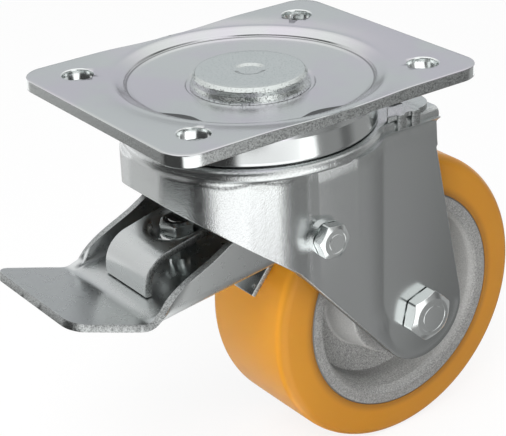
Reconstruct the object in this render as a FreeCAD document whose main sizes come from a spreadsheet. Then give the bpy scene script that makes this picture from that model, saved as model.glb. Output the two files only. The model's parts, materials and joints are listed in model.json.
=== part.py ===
"""Braked swivel castor with a square top plate, a pressed fork and a cast wheel.

Origin: centre of the plate's mounting face, on the swivel axis. +Z up, the
wheel trails towards +X, the pedal points to -X and the axles lie along Y.
"""
import FreeCAD, Part
import math
import os
import Sketcher

doc = FreeCAD.newDocument("SwivelCastor")

# Driving dimensions in millimetres and degrees, counts where the name says so
SIZES = {
    # top plate
    "plate_length": 140.0,
    "plate_width": 110.0,
    "plate_sheet": 5.0,
    "plate_corner": 10.0,
    "hole_span_long": 105.0,
    "hole_span_cross": 77.5,
    "hole_size": 12.0,
    "dish_rim": 120.0,
    "dish_step": 94.6,
    "dish_step_depth": 3.5,
    "dish_depth": 5.3,
    "press_size": 98.0,
    "press_drop": 5.0,
    "press_flank": 3.0,
    "dish_knee_size": 103.0,
    "dish_knee_depth": 1.5,
    # kingpin and swivel head
    "pin_head_size": 43.4,
    "pin_size": 18.0,
    "pin_head_round": 1.2,
    "pin_chamfer": 1.0,
    "pin_dimple": 11.0,
    "pin_dimple_flank": 1.6,
    "pin_dimple_depth": 0.7,
    "pin_tail": 3.0,
    "pin_nut_size": 30.0,
    "pin_nut_length": 7.0,
    "seat_clearance": 0.15,
    "crown_drop": 20.3,
    "dust_ring_size": 97.0,
    "dust_ring_sheet": 2.0,
    "dust_gap": 0.5,
    "race_thickness": 3.4,
    "race_width": 16.0,
    "upper_ball": 6.4,
    "upper_ball_circle": 76.0,
    "upper_ball_count": 28.0,
    "neck_race_thickness": 3.0,
    "neck_race_width": 12.0,
    "lower_ball": 5.6,
    "lower_ball_circle": 40.0,
    "lower_ball_count": 16.0,
    "lower_ball_show": 1.6,
    "cup_thickness": 3.2,
    "ball_clearance": 0.05,
    # fork
    "fork_sheet": 4.0,
    "leg_gap": 64.0,
    "crown_size": 101.0,
    "crown_lip": 5.2,
    "crown_round": 2.4,
    "crown_lip_chamfer": 1.0,
    "wall_lap": 1.0,
    "front_inset": 0.5,
    "front_corner_half": 32.3,
    "front_corner_round": 27.0,
    "cheek_half": 38.0,
    "cheek_run": 8.7,
    "leg_bend_run": 1.5,
    "cheek_round": 28.0,
    "leg_bend_round": 14.0,
    "skirt_rise": 21.1,
    "knee_setback": 12.5,
    "knee_fall": 11.9,
    "shelf_overhang": 11.1,
    "shelf_half": 38.4,
    "shelf_round": 10.0,
    "shelf_depth": 15.5,
    "leg_end_size": 42.6,
    "pad_setback": 21.5,
    "pad_rise": 1.2,
    "pad_end_size": 35.8,
    "pad_foot_rise": 10.6,
    # wheel
    "trail": 55.0,
    "axle_drop": 108.5,
    "wheel_size": 125.0,
    "tread_width": 50.0,
    "tread_taper": 1.3,
    "tread_round": 4.6,
    "rim_size": 94.0,
    "rim_lip": 4.2,
    "rim_step": 3.0,
    "rim_wall": 7.0,
    "rim_flank": 0.4,
    "rim_draft": 1.5,
    "web_fillet": 3.5,
    "hub_draft": 1.2,
    "hub_chamfer": 1.0,
    "bearing_ledge": 2.0,
    "web_thickness": 9.0,
    "hub_size": 48.0,
    "hub_width": 46.0,
    "rim_rounding": 0.8,
    # wheel bearings and axle
    "bearing_bore": 15.0,
    "bearing_size": 35.0,
    "bearing_width": 11.0,
    "bearing_ball": 6.0,
    "bearing_ball_count": 9.0,
    "ring_wall": 2.9,
    "shield_sheet": 0.8,
    "shield_setback": 0.3,
    "shield_gap": 0.2,
    "axle_thread": 12.0,
    "axle_flats": 19.0,
    "axle_head": 6.6,
    "axle_nut_length": 10.0,
    "axle_end": 3.5,
    "axle_washer_size": 24.0,
    "spacer_size": 20.0,
    # hexagon heads and nuts: shares of the width across flats, of the thread and of the height
    "hex_cut_start": 0.48,
    "hex_cut_far": 0.66,
    "hex_cut_slope": 30.0,
    "tip_chamfer": 0.08,
    "nut_hex_share": 0.72,
    "nut_collar_base": 0.46,
    "nut_collar_rim": 0.43,
    "nut_collar_sink": 0.5,
    # brake
    "pivot_angle": 45.2,
    "pivot_clearance": 1.4,
    "pivot_thread": 8.0,
    "pivot_flats": 13.0,
    "pivot_head": 5.3,
    "pivot_nut_length": 8.0,
    "pivot_end": 2.0,
    "pivot_sleeve_size": 10.0,
    "pivot_play": 0.1,
    "washer_sheet": 1.6,
    "pivot_washer_size": 14.6,
    "pedal_sheet": 3.0,
    "pedal_half": 29.8,
    "pedal_foot_length": 33.0,
    "pedal_foot_rise": 10.8,
    "pedal_tip_half": 28.5,
    "pedal_tip_round": 6.0,
    "pedal_bend": 4.0,
    "pedal_heel_reach": 19.0,
    "pedal_heel_fall": 16.5,
    "pedal_floor_lap": 5.5,
    "pedal_floor_fall": 8.4,
    "pedal_wall_inset": 18.2,
    "pedal_wall_rise": 7.6,
    "pedal_boss_size": 20.0,
    "pedal_wall_start": 3.0,
    "pedal_wall_lip": 1.0,
    "pedal_foot_lap": 8.0,
    "pedal_foot_bend": 0.6,
    "pedal_taper_start": 4.0,
    "cut_margin": 1.0,
    "strap_width": 28.0,
    "strap_sheet": 3.0,
    "strap_toe_inset": 7.6,
    "strap_nose_round": 6.0,
    "strap_rise": 7.1,
    "strap_slope": 12.6,
    "strap_tail_length": 18.1,
    "strap_gap": 0.3,
    "clamp_inset": 13.4,
    "clamp_thread": 8.0,
    "clamp_flats": 13.0,
    "clamp_head": 5.3,
    "clamp_nut_length": 6.5,
    "dimple_size": 22.0,
    "dimple_depth": 4.0,
    "dimple_wall": 2.0,
    "shoe_half": 15.5,
    "shoe_setback": 1.0,
    "shoe_sheet": 2.5,
    "shoe_seat_length": 20.0,
    "shoe_knee": 8.3,
    "shoe_fall": 11.2,
    "shoe_back": 9.6,
    # swivel lock plate
    "lock_sheet": 2.0,
    "lock_half": 38.4,
    "lock_setback": 0.6,
    "lock_gap": 1.5,
    "lock_tab": 4.0,
    "lock_tab_sheet": 1.2,
    "lock_tab_setback": 21.6,
    "lock_tab_spacing": 7.0,
    "lock_slot_setback": 18.6,
    "lock_slot_inset": 20.0,
    "lock_slot_length": 7.0,
    "lock_slot_width": 12.0,
}

sheet = doc.addObject("Spreadsheet::Sheet", "Sizes")
for row, (alias, value) in enumerate(SIZES.items(), start=1):
    sheet.set(f"A{row}", alias)
    sheet.set(f"B{row}", str(value))
    sheet.setAlias(f"B{row}", alias)
doc.recompute()


def named(text):
    """Expression with each size's name sent to the sheet, such as trail -> Sizes.trail."""
    words = []
    word = ""
    for letter in text + " ":
        if letter.isalnum() or letter == "_":
            word += letter
            continue
        words.append(f"Sizes.{word}" if word in SIZES else word)
        words.append(letter)
        word = ""
    return "".join(words).strip()


def number(text):
    """Value of an expression now, in millimetres or degrees."""
    value = sheet.evalExpression(named(text))
    return float(getattr(value, "Value", value))


def bind(thing, prop, text):
    """Tie one property to the sheet and give it its present value."""
    thing.setExpression(prop, named(text))


# Places worked out from the driving dimensions
PRESS_FACE = "(-(plate_sheet + press_drop))"
CROWN = "(-crown_drop)"
CROWN_UNDER = "(-crown_drop - fork_sheet)"
LEG = "(leg_gap / 2 + fork_sheet)"
PAD = "(leg_gap / 2 + fork_sheet + pad_rise)"
UPPER_BALL_PLACE = "(-(crown_drop + plate_sheet + press_drop) / 2)"
NECK_FACE = "(-crown_drop - fork_sheet - neck_race_thickness)"
LOWER_BALL_PLACE = "(-crown_drop - fork_sheet - neck_race_thickness - lower_ball_show / 2)"
CUP_FACE = "(-crown_drop - fork_sheet - neck_race_thickness - lower_ball_show)"
CUP_UNDER = "(-crown_drop - fork_sheet - neck_race_thickness - lower_ball_show - cup_thickness)"
PIN_END = f"({CUP_UNDER} - pin_nut_length - pin_tail)"
BEARING_OUT = "(hub_width / 2)"
BEARING_IN = "(hub_width / 2 - bearing_width)"
SHELF_REACH = "(crown_size / 2 + shelf_overhang)"
FRONT_REACH = "(crown_size / 2 - front_inset)"
TREAD_FRONT = "(trail - wheel_size / 2)"
PIVOT_REACH = "(wheel_size / 2 + pivot_sleeve_size / 2 + pivot_clearance)"
PIVOT_PLACE = f"(trail - {PIVOT_REACH} * cos(pivot_angle * 1 deg))"
PIVOT_DROP = f"(axle_drop - {PIVOT_REACH} * sin(pivot_angle * 1 deg))"
CHEEK_END = f"({PIVOT_PLACE} - pivot_washer_size / 2 - leg_bend_run)"
CHEEK_PLACE = f"({CHEEK_END} - cheek_run)"
SKIRT_DROP = f"({PIVOT_DROP} - skirt_rise)"
KNEE_PLACE = f"({PIVOT_PLACE} - knee_setback)"
KNEE_DROP = f"({PIVOT_DROP} + knee_fall)"
PAD_PLACE = "(trail - pad_setback)"
HEEL_PLACE = f"(-{FRONT_REACH} - pedal_heel_reach)"
HEEL_DROP = f"({PIVOT_DROP} + pedal_heel_fall)"
TIP_PLACE = f"({HEEL_PLACE} - pedal_foot_length)"
TIP_DROP = f"({HEEL_DROP} - pedal_foot_rise)"
FLOOR_END = f"({TREAD_FRONT} + pedal_floor_lap)"
FLOOR_DROP = f"({PIVOT_DROP} + pedal_floor_fall)"
WALL_PLACE = f"(-{FRONT_REACH} + pedal_wall_inset)"
WALL_DROP = f"({PIVOT_DROP} - pedal_wall_rise)"
CLAMP_PLACE = f"(-{FRONT_REACH} + clamp_inset)"
TOE_PLACE = f"({HEEL_PLACE} + strap_toe_inset)"
TAIL_PLACE = f"({CLAMP_PLACE} + strap_tail_length)"
FLOOR_RISE = f"(({HEEL_DROP} - {FLOOR_DROP}) / ({FLOOR_END} - {HEEL_PLACE}))"


def floor_top(place):
    """Height of the pedal channel's floor at one place along X."""
    return f"(-{HEEL_DROP} + {FLOOR_RISE} * ({place} - {HEEL_PLACE}) + pedal_sheet)"


def strap_top(place):
    """Height of the brake strap's upper face at one place along X."""
    return f"(strap_rise - {PIVOT_DROP} + tan(strap_slope * 1 deg) * ({place} - {CLAMP_PLACE}))"


def new_body(label, place=None, axis="Z"):
    """Empty body; with axis Y its own Z lies along the castor's Y."""
    body = doc.addObject("PartDesign::Body", label)
    body.Label = label
    if axis == "Y":
        turn = FreeCAD.Rotation(FreeCAD.Vector(1, 0, 0), -90)
        body.Placement = FreeCAD.Placement(FreeCAD.Vector(), turn)
    if place:
        for letter, text in zip("xyz", place):
            bind(body, f"Placement.Base.{letter}", text)
    return body


def plane(body, role):
    """Origin plane or axis of the body, found by its role."""
    return next(item for item in body.Origin.OriginFeatures if item.Role == role)


def new_sketch(body, name, role="XY_Plane", lift=None):
    """Sketch on one of the body's own origin planes, lifted along its normal."""
    sketch = body.newObject("Sketcher::SketchObject", name)
    sketch.AttachmentSupport = [(plane(body, role), "")]
    sketch.MapMode = "FlatFace"
    if lift:
        bind(sketch, "AttachmentOffset.Base.z", lift)
    return sketch


def pin_point(sketch, item, end, across, up):
    """Hold one point of the sketch at two bound distances from its origin."""
    for kind, text in (("DistanceX", across), ("DistanceY", up)):
        value = number(text)
        if abs(value) < 1e-9:
            other = -2 if kind == "DistanceX" else -1
            sketch.addConstraint(Sketcher.Constraint("PointOnObject", item, end, other))
            continue
        index = sketch.addConstraint(Sketcher.Constraint(kind, -1, 1, item, end, value))
        bind(sketch, f"Constraints[{index}]", text)


def tangent_point(point, centre, radius, side):
    """Where a line between the point and the circle touches it, on arrival (1) or leaving (-1)."""
    away = FreeCAD.Vector(*point, 0) - FreeCAD.Vector(*centre, 0)
    turn = side * math.acos(radius / away.Length) + math.atan2(away.y, away.x)
    return centre[0] + radius * math.cos(turn), centre[1] + radius * math.sin(turn)


def outline(sketch, points):
    """Closed outline of bound corners, run counter-clockwise. A corner with a third value
    is a tangent arc about that centre; its radius is negative where the outline is hollow."""
    ends = []
    count = len(points)
    spots = [tuple(number(text) for text in corner) for corner in points]
    for index, spot in enumerate(spots):
        if len(spot) == 2:
            ends.append((spot, spot))
            continue
        before, after = spots[index - 1], spots[(index + 1) % count]
        radius, side = abs(spot[2]), math.copysign(1, spot[2])
        ends.append((tangent_point(before[:2], spot[:2], radius, side),
                     tangent_point(after[:2], spot[:2], radius, -side)))
    lines, arcs = {}, {}
    for index in range(count):
        start = FreeCAD.Vector(*ends[index][1], 0)
        finish = FreeCAD.Vector(*ends[(index + 1) % count][0], 0)
        lines[index] = sketch.addGeometry(Part.LineSegment(start, finish), False)
    for index, corner in enumerate(points):
        before = lines[(index - 1) % count]
        if len(corner) == 2:
            sketch.addConstraint(Sketcher.Constraint("Coincident", before, 2, lines[index], 1))
            pin_point(sketch, lines[index], 1, *corner)
            continue
        spot = spots[index]
        circle = Part.Circle(FreeCAD.Vector(*spot[:2], 0), FreeCAD.Vector(0, 0, 1), abs(spot[2]))
        angles = [math.atan2(end[1] - spot[1], end[0] - spot[0]) for end in ends[index]]
        first, last = (1, 2) if spot[2] > 0 else (2, 1)
        bow = Part.ArcOfCircle(circle, angles[first - 1], angles[last - 1])
        arcs[index] = sketch.addGeometry(bow, False)
        pin_point(sketch, arcs[index], 3, corner[0], corner[1])
        radius = sketch.addConstraint(Sketcher.Constraint("Radius", arcs[index], abs(spot[2])))
        bind(sketch, f"Constraints[{radius}]", f"abs({corner[2]})")
        sketch.addConstraint(Sketcher.Constraint("Tangent", before, 2, arcs[index], first))
        sketch.addConstraint(Sketcher.Constraint("Tangent", arcs[index], last, lines[index], 1))


def ring(sketch, radius, across="0", up="0"):
    """Circle of a bound radius about a bound centre."""
    centre = FreeCAD.Vector(number(across), number(up), 0)
    item = sketch.addGeometry(Part.Circle(centre, FreeCAD.Vector(0, 0, 1), number(radius)), False)
    pin_point(sketch, item, 3, across, up)
    index = sketch.addConstraint(Sketcher.Constraint("Radius", item, number(radius)))
    bind(sketch, f"Constraints[{index}]", radius)


def solid(body, kind, name, sketch, length=None, back=False, both=False, through=False):
    """Pad or pocket of one sketch, with its length bound."""
    item = body.newObject(f"PartDesign::{kind}", name)
    item.Profile = sketch
    item.Reversed = back
    item.Midplane = both
    if through:
        item.Type = 1
    else:
        bind(item, "Length", length)
    sketch.Visibility = False
    return item


def turned(body, kind, name, points, role="XZ_Plane"):
    """Revolution or groove of an outline in radius and height about the body's Z."""
    sketch = new_sketch(body, f"{name}Profile", role)
    outline(sketch, points)
    item = body.newObject(f"PartDesign::{kind}", name)
    item.Profile = sketch
    item.ReferenceAxis = (sketch, ["V_Axis"])
    item.Angle = 360
    return item


def straight_edges(shape, axis, spots, near=0.01):
    """Names of the straight edges along one axis that pass through the given spots."""
    direction = FreeCAD.Vector(*axis)
    names = []
    for index, edge in enumerate(shape.Edges, start=1):
        if edge.Curve.TypeId != "Part::GeomLine" or len(edge.Vertexes) < 2:
            continue
        start, finish = (vertex.Point for vertex in edge.Vertexes)
        if (finish - start).cross(direction).Length > 1e-6:
            continue
        for spot in spots:
            away = FreeCAD.Vector(*spot) - start
            if (away - direction * away.dot(direction)).Length < near:
                names.append(f"Edge{index}")
    return names


def round_edges(kind, name, body, base, names, size):
    """Fillet or chamfer of the named edges, with its size bound."""
    item = body.newObject(f"PartDesign::{kind}", name)
    item.Base = (base, names)
    bind(item, "Radius" if kind == "Fillet" else "Size", size)
    return item


def turned_piece(label, points, place=None, axis="Z"):
    """Piece that is one revolution."""
    body = new_body(label, place, axis)
    turned(body, "Revolution", f"{label}Turn", points)
    return body


def tube(label, inner, outer, low, high, place=None, axis="Z"):
    """Plain ring or sleeve between two heights."""
    return turned_piece(label, [(inner, low), (outer, low), (outer, high), (inner, high)],
                        place, axis)


def hexagon(body, name, flats, lift):
    """Hexagonal sketch, corners on the body's X axis."""
    sketch = new_sketch(body, name, "XY_Plane", lift)
    corner = f"({flats} / sqrt(3))"
    points = []
    for step in range(6):
        turn = 60 * step
        points.append((f"{corner} * cos({turn} deg)", f"{corner} * sin({turn} deg)"))
    outline(sketch, points)
    return sketch


def corner_cut(body, name, flats, face, inward):
    """Turned chamfer on the corners of a hexagon at one end face."""
    start, far = f"({flats} * hex_cut_start)", f"({flats} * hex_cut_far)"
    drop = f"({inward} * ({far} - {start}) * tan(hex_cut_slope * 1 deg))"
    turned(body, "Groove", name, [(start, face), (far, f"{face} + {drop}"),
                                  (far, f"{face} - {drop}"), (start, f"{face} - {drop}")])


def hex_bolt(label, thread, flats, head, under, tip, place):
    """Hexagon bolt along Y: the head lies below its seat at under, the tip is at tip."""
    body = new_body(label, place, "Y")
    sketch = hexagon(body, f"{label}Head", flats, under)
    solid(body, "Pad", f"{label}HeadPad", sketch, head, back=True)
    corner_cut(body, f"{label}HeadCut", flats, f"({under} - {head})", "1")
    shank = new_sketch(body, f"{label}Shank", "XY_Plane", under)
    ring(shank, f"{thread} / 2")
    stem = solid(body, "Pad", f"{label}ShankPad", shank, f"({tip}) - ({under})")
    doc.recompute()
    end = number(tip)
    names = [f"Edge{index}" for index, edge in enumerate(stem.Shape.Edges, start=1)
             if abs(edge.BoundBox.ZMin - end) < 1e-6 and abs(edge.BoundBox.ZMax - end) < 1e-6]
    round_edges("Chamfer", f"{label}TipCut", body, stem, names, f"{thread} * tip_chamfer")
    return body


def hex_nut(label, thread, flats, low, high, place, collar=None):
    """Hexagon nut along Y between two heights, with an optional round collar above."""
    body = new_body(label, place, "Y")
    sketch = hexagon(body, f"{label}Outline", flats, low)
    ring(sketch, f"{thread} / 2")
    solid(body, "Pad", f"{label}Pad", sketch, f"({high}) - ({low})")
    corner_cut(body, f"{label}Cut", flats, f"({high})", "-1")
    if collar:
        turned(body, "Revolution", f"{label}Collar", [
            (f"{thread} / 2", f"({high}) - nut_collar_sink"),
            (f"{flats} * nut_collar_base", f"({high}) - nut_collar_sink"),
            (f"{flats} * nut_collar_rim", f"({high}) + {collar}"),
            (f"{thread} / 2", f"({high}) + {collar}")])
    return body


def balls(label, count, radius, circle, height, place=None, axis="Z"):
    """Ring of separate balls about the body's Z."""
    body = new_body(label, place, axis)
    body.AllowCompound = True
    ball = body.newObject("PartDesign::AdditiveSphere", f"{label}Ball")
    bind(ball, "Radius", radius)
    bind(ball, "AttachmentOffset.Base.x", circle)
    bind(ball, "AttachmentOffset.Base.z", height)
    ball.AttachmentSupport = [(plane(body, "XY_Plane"), "")]
    ball.MapMode = "FlatFace"
    doc.recompute()
    pattern = body.newObject("PartDesign::PolarPattern", f"{label}Ring")
    pattern.Originals = [ball]
    pattern.Axis = (plane(body, "Z_Axis"), [""])
    pattern.Angle = 360
    bind(pattern, "Occurrences", count)
    body.Tip = pattern
    return body


def top_plate():
    """Pressed plate: rounded rectangle, dished centre, seat for the kingpin head, four holes."""
    body = new_body("top_plate")
    sketch = new_sketch(body, "PlateOutline")
    long_half, cross_half = "plate_length / 2", "plate_width / 2"
    outline(sketch, [(f"-({long_half})", f"-({cross_half})"), (long_half, f"-({cross_half})"),
                     (long_half, cross_half), (f"-({long_half})", cross_half)])
    pad = solid(body, "Pad", "PlatePad", sketch, "plate_sheet", back=True)
    doc.recompute()
    corners = [(sx * number(long_half), sy * number(cross_half), 0) for sx in (-1, 1) for sy in (-1, 1)]
    names = straight_edges(pad.Shape, (0, 0, 1), corners)
    round_edges("Fillet", "PlateCorners", body, pad, names, "plate_corner")
    turned(body, "Revolution", "PlatePressing", [
        ("pin_size / 2", "-plate_sheet / 2"), ("press_size / 2 + press_flank", "-plate_sheet / 2"),
        ("press_size / 2 + press_flank", "-plate_sheet"), ("press_size / 2", PRESS_FACE),
        ("pin_size / 2", PRESS_FACE)])
    turned(body, "Groove", "PlateDish", [
        ("0", "-dish_depth"), ("pin_head_size / 2 + seat_clearance", "-dish_depth"),
        ("dish_step / 2", "-dish_step_depth"), ("dish_knee_size / 2", "-dish_knee_depth"),
        ("dish_rim / 2", "0"), ("dish_rim / 2", "cut_margin"), ("0", "cut_margin")])
    bore = new_sketch(body, "PlateBore")
    ring(bore, "pin_size / 2")
    solid(body, "Pocket", "PlateBoreCut", bore, through=True, both=True)
    holes = new_sketch(body, "PlateHoles")
    for across in ("hole_span_long / 2", "-hole_span_long / 2"):
        for up in ("hole_span_cross / 2", "-hole_span_cross / 2"):
            ring(holes, "hole_size / 2", across, up)
    solid(body, "Pocket", "PlateHolesCut", holes, through=True, both=True)


def swivel_head():
    """Kingpin, its nut, the ball races with their balls and the ring that covers them."""
    head, pin = "pin_head_size / 2", "pin_size / 2"
    turned_piece("kingpin", [
        ("0", PIN_END), (f"{pin} - pin_chamfer", PIN_END), (pin, f"{PIN_END} + pin_chamfer"),
        (pin, "-dish_depth"), (head, "-dish_depth"),
        (f"{head} - pin_head_round", "-pin_head_round", "pin_head_round"), ("pin_dimple / 2", "0"),
        ("pin_dimple / 2 - pin_dimple_flank", "-pin_dimple_depth"), ("0", "-pin_dimple_depth")])
    circle, ball = "upper_ball_circle / 2", "upper_ball / 2 + ball_clearance"
    inner, outer = f"({circle} - race_width / 2)", f"({circle} + race_width / 2)"
    for label, face, back, side in (("upper_race", f"{PRESS_FACE} - race_thickness", PRESS_FACE, 1),
                                    ("crown_race", f"{CROWN} + race_thickness", CROWN, -1)):
        body = tube(label, inner, outer, *((face, back) if side > 0 else (back, face)))
        groove_ring(body, label, circle, UPPER_BALL_PLACE, ball)
    balls("upper_balls", "upper_ball_count", "upper_ball / 2", circle, UPPER_BALL_PLACE)
    tube("dust_ring", "dust_ring_size / 2 - dust_ring_sheet", "dust_ring_size / 2",
         f"{CROWN} + dust_gap", PRESS_FACE)
    circle, ball = "lower_ball_circle / 2", "lower_ball / 2 + ball_clearance"
    inner, outer = f"({circle} - neck_race_width / 2)", f"({circle} + neck_race_width / 2)"
    body = tube("neck_race", inner, outer, NECK_FACE, CROWN_UNDER)
    groove_ring(body, "neck_race", circle, LOWER_BALL_PLACE, ball)
    body = tube("lower_cup", pin, outer, CUP_UNDER, CUP_FACE)
    groove_ring(body, "lower_cup", circle, LOWER_BALL_PLACE, ball)
    balls("lower_balls", "lower_ball_count", "lower_ball / 2", circle, LOWER_BALL_PLACE)
    body = new_body("kingpin_nut")
    sketch = hexagon(body, "KingpinNutOutline", "pin_nut_size", CUP_UNDER)
    ring(sketch, pin)
    solid(body, "Pad", "KingpinNutPad", sketch, "pin_nut_length", back=True)
    corner_cut(body, "KingpinNutCut", "pin_nut_size", f"({CUP_UNDER} - pin_nut_length)", "1")


def groove_ring(body, label, circle, height, radius):
    """Round ball groove about the body's Z."""
    sketch = new_sketch(body, f"{label}GrooveProfile", "XZ_Plane")
    ring(sketch, radius, circle, height)
    item = body.newObject("PartDesign::Groove", f"{label}Groove")
    item.Profile = sketch
    item.ReferenceAxis = (sketch, ["V_Axis"])
    item.Angle = 360


def fork():
    """One pressed sheet: round crown, rear shelf, rounded skirt and two legs to the axle."""
    body = new_body("fork")
    slope = f"((cheek_half - front_corner_half) / ({FRONT_REACH} + {CHEEK_PLACE}))"
    lean = f"sqrt(1 + {slope} * {slope})"
    back_wall = "(trail + leg_end_size)"
    front = f"-{FRONT_REACH}"
    outer = [(front, "front_corner_half"), (front, "-front_corner_half"),
             (CHEEK_PLACE, "-cheek_half"), (CHEEK_END, f"-{LEG}"), (back_wall, f"-{LEG}"),
             (back_wall, LEG), (CHEEK_END, LEG), (CHEEK_PLACE, "cheek_half")]
    inner_front = f"({front} + fork_sheet)"
    inner_corner = f"(front_corner_half + {slope} * fork_sheet - fork_sheet * {lean})"
    inner = [(inner_front, inner_corner), (inner_front, f"-{inner_corner}"),
             (CHEEK_PLACE, "-(cheek_half - fork_sheet)"), (CHEEK_END, "-leg_gap / 2"),
             (f"{back_wall} - fork_sheet", "-leg_gap / 2"), (f"{back_wall} - fork_sheet", "leg_gap / 2"),
             (CHEEK_END, "leg_gap / 2"), (CHEEK_PLACE, "cheek_half - fork_sheet")]
    walls = new_sketch(body, "WallOutline", "XY_Plane", f"{CROWN_UNDER} + wall_lap")
    outline(walls, outer)
    outline(walls, inner)
    pad = solid(body, "Pad", "WallPad", walls, "axle_drop + leg_end_size - crown_drop", back=True)
    bends = (("FrontBend", outer[:2], "front_corner_round"),
             ("FrontBendInside", inner[:2], "front_corner_round - fork_sheet"),
             ("CheekBend", (outer[2], outer[7]), "cheek_round"),
             ("CheekBendInside", (inner[2], inner[7]), "cheek_round - fork_sheet"),
             ("LegBend", (outer[3], outer[6], inner[3], inner[6]), "leg_bend_round"))
    for name, corners, size in bends:
        doc.recompute()
        spots = [(number(across), number(up), 0) for across, up in corners]
        names = straight_edges(pad.Shape, (0, 0, 1), spots)
        pad = round_edges("Fillet", name, body, pad, names, size)

    rim, bend = "crown_size / 2", "crown_round"
    lip_end = "(-crown_drop - crown_lip)"
    turned(body, "Revolution", "Crown", [
        ("0", CROWN_UNDER), (f"{rim} - fork_sheet", CROWN_UNDER), (f"{rim} - fork_sheet", lip_end),
        (f"{rim} - crown_lip_chamfer", lip_end), (rim, f"{lip_end} + crown_lip_chamfer"),
        (f"{rim} - {bend}", f"{CROWN} - {bend}", bend), ("0", CROWN)])
    shelf = new_sketch(body, "ShelfOutline", "XY_Plane", CROWN)
    outline(shelf, [("0", "-shelf_half"), (SHELF_REACH, "-shelf_half"),
                    (SHELF_REACH, "shelf_half"), ("0", "shelf_half")])
    pad = solid(body, "Pad", "ShelfPad", shelf, "fork_sheet", back=True)
    doc.recompute()
    corners = [(number(SHELF_REACH), side * number("shelf_half"), 0) for side in (-1, 1)]
    names = straight_edges(pad.Shape, (0, 0, 1), corners)
    round_edges("Fillet", "ShelfRound", body, pad, names, "shelf_round")

    for name, side in (("NearPad", 1), ("FarPad", -1)):
        sketch = new_sketch(body, f"{name}Outline", "XZ_Plane", f"{side} * (leg_gap / 2 + fork_sheet / 2)")
        outline(sketch, [(PAD_PLACE, CROWN_UNDER), (PAD_PLACE, "-axle_drop + pad_foot_rise"),
                         ("trail", "-axle_drop", "pad_end_size / 2"), (back_wall, "-axle_drop"),
                         (back_wall, CROWN_UNDER)])
        solid(body, "Pad", name, sketch, "fork_sheet / 2 + pad_rise", back=side < 0)

    profile = new_sketch(body, "SideOutline", "XZ_Plane")
    far, start = "(plate_length + trail)", "(-crown_size / 2 - cut_margin)"
    outline(profile, [(f"-{far}", f"-{far}"), (far, f"-{far}"), (far, far), (f"-{far}", far)])
    outline(profile, [(start, "0"), (start, f"-{SKIRT_DROP}"), (front, f"-{SKIRT_DROP}"),
                      (KNEE_PLACE, f"-{KNEE_DROP}"), ("trail", "-axle_drop", "leg_end_size / 2"),
                      (SHELF_REACH, "-crown_drop - shelf_depth"), (SHELF_REACH, "0")])
    solid(body, "Pocket", "SideCut", profile, through=True, both=True)

    bores = new_sketch(body, "CrossBores", "XZ_Plane")
    ring(bores, "axle_thread / 2", "trail", "-axle_drop")
    ring(bores, "pivot_thread / 2", PIVOT_PLACE, f"-{PIVOT_DROP}")
    solid(body, "Pocket", "CrossBoresCut", bores, through=True, both=True)
    neck = new_sketch(body, "NeckBore")
    ring(neck, "lower_ball_circle / 2 - neck_race_width / 2")
    solid(body, "Pocket", "NeckBoreCut", neck, through=True, both=True)


def lock_plate():
    """Leaf of the swivel lock on the fork's shelf, with bent tabs and a slot."""
    body = new_body("lock_plate")
    sketch = new_sketch(body, "LockOutline", "XY_Plane", CROWN)
    reach = f"({SHELF_REACH} - lock_setback)"
    tab = f"({SHELF_REACH} - lock_tab_setback)"
    outline(sketch, [(f"{tab} - lock_tab", "-lock_half"), (reach, "-lock_half"),
                     (reach, "lock_half"), (f"{tab} - lock_tab", "lock_half")])
    pad = solid(body, "Pad", "LockPad", sketch, "lock_sheet")
    doc.recompute()
    corners = [(number(reach), side * number("lock_half"), 0) for side in (-1, 1)]
    names = straight_edges(pad.Shape, (0, 0, 1), corners)
    round_edges("Fillet", "LockRound", body, pad, names, "shelf_round")
    cut = new_sketch(body, "LockInner", "XY_Plane", CROWN)
    ring(cut, "crown_size / 2 + lock_gap")
    solid(body, "Pocket", "LockInnerCut", cut, "lock_sheet", back=True)
    slots = new_sketch(body, "LockSlots", "XY_Plane", CROWN)
    for side in (1, -1):
        low = f"{side} * (lock_half - lock_slot_inset)"
        high = f"{side} * (lock_half - lock_slot_inset + lock_slot_width)"
        start = f"({SHELF_REACH} - lock_slot_setback)"
        end = f"{start} + lock_slot_length"
        outline(slots, [(start, low), (end, low), (end, high), (start, high)])
    solid(body, "Pocket", "LockSlotsCut", slots, "lock_sheet", back=True)
    tabs = new_sketch(body, "LockTabs", "XY_Plane", f"{CROWN} + lock_sheet")
    for side in (1, -1):
        low, high = f"{side} * lock_half", f"{side} * (lock_half + lock_tab_sheet)"
        for place in (tab, f"{tab} + lock_tab_spacing"):
            outline(tabs, [(place, low), (f"{place} + lock_tab", low),
                           (f"{place} + lock_tab", high), (place, high)])
    solid(body, "Pad", "LockTabsPad", tabs, "lock_sheet + fork_sheet", back=True)


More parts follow.
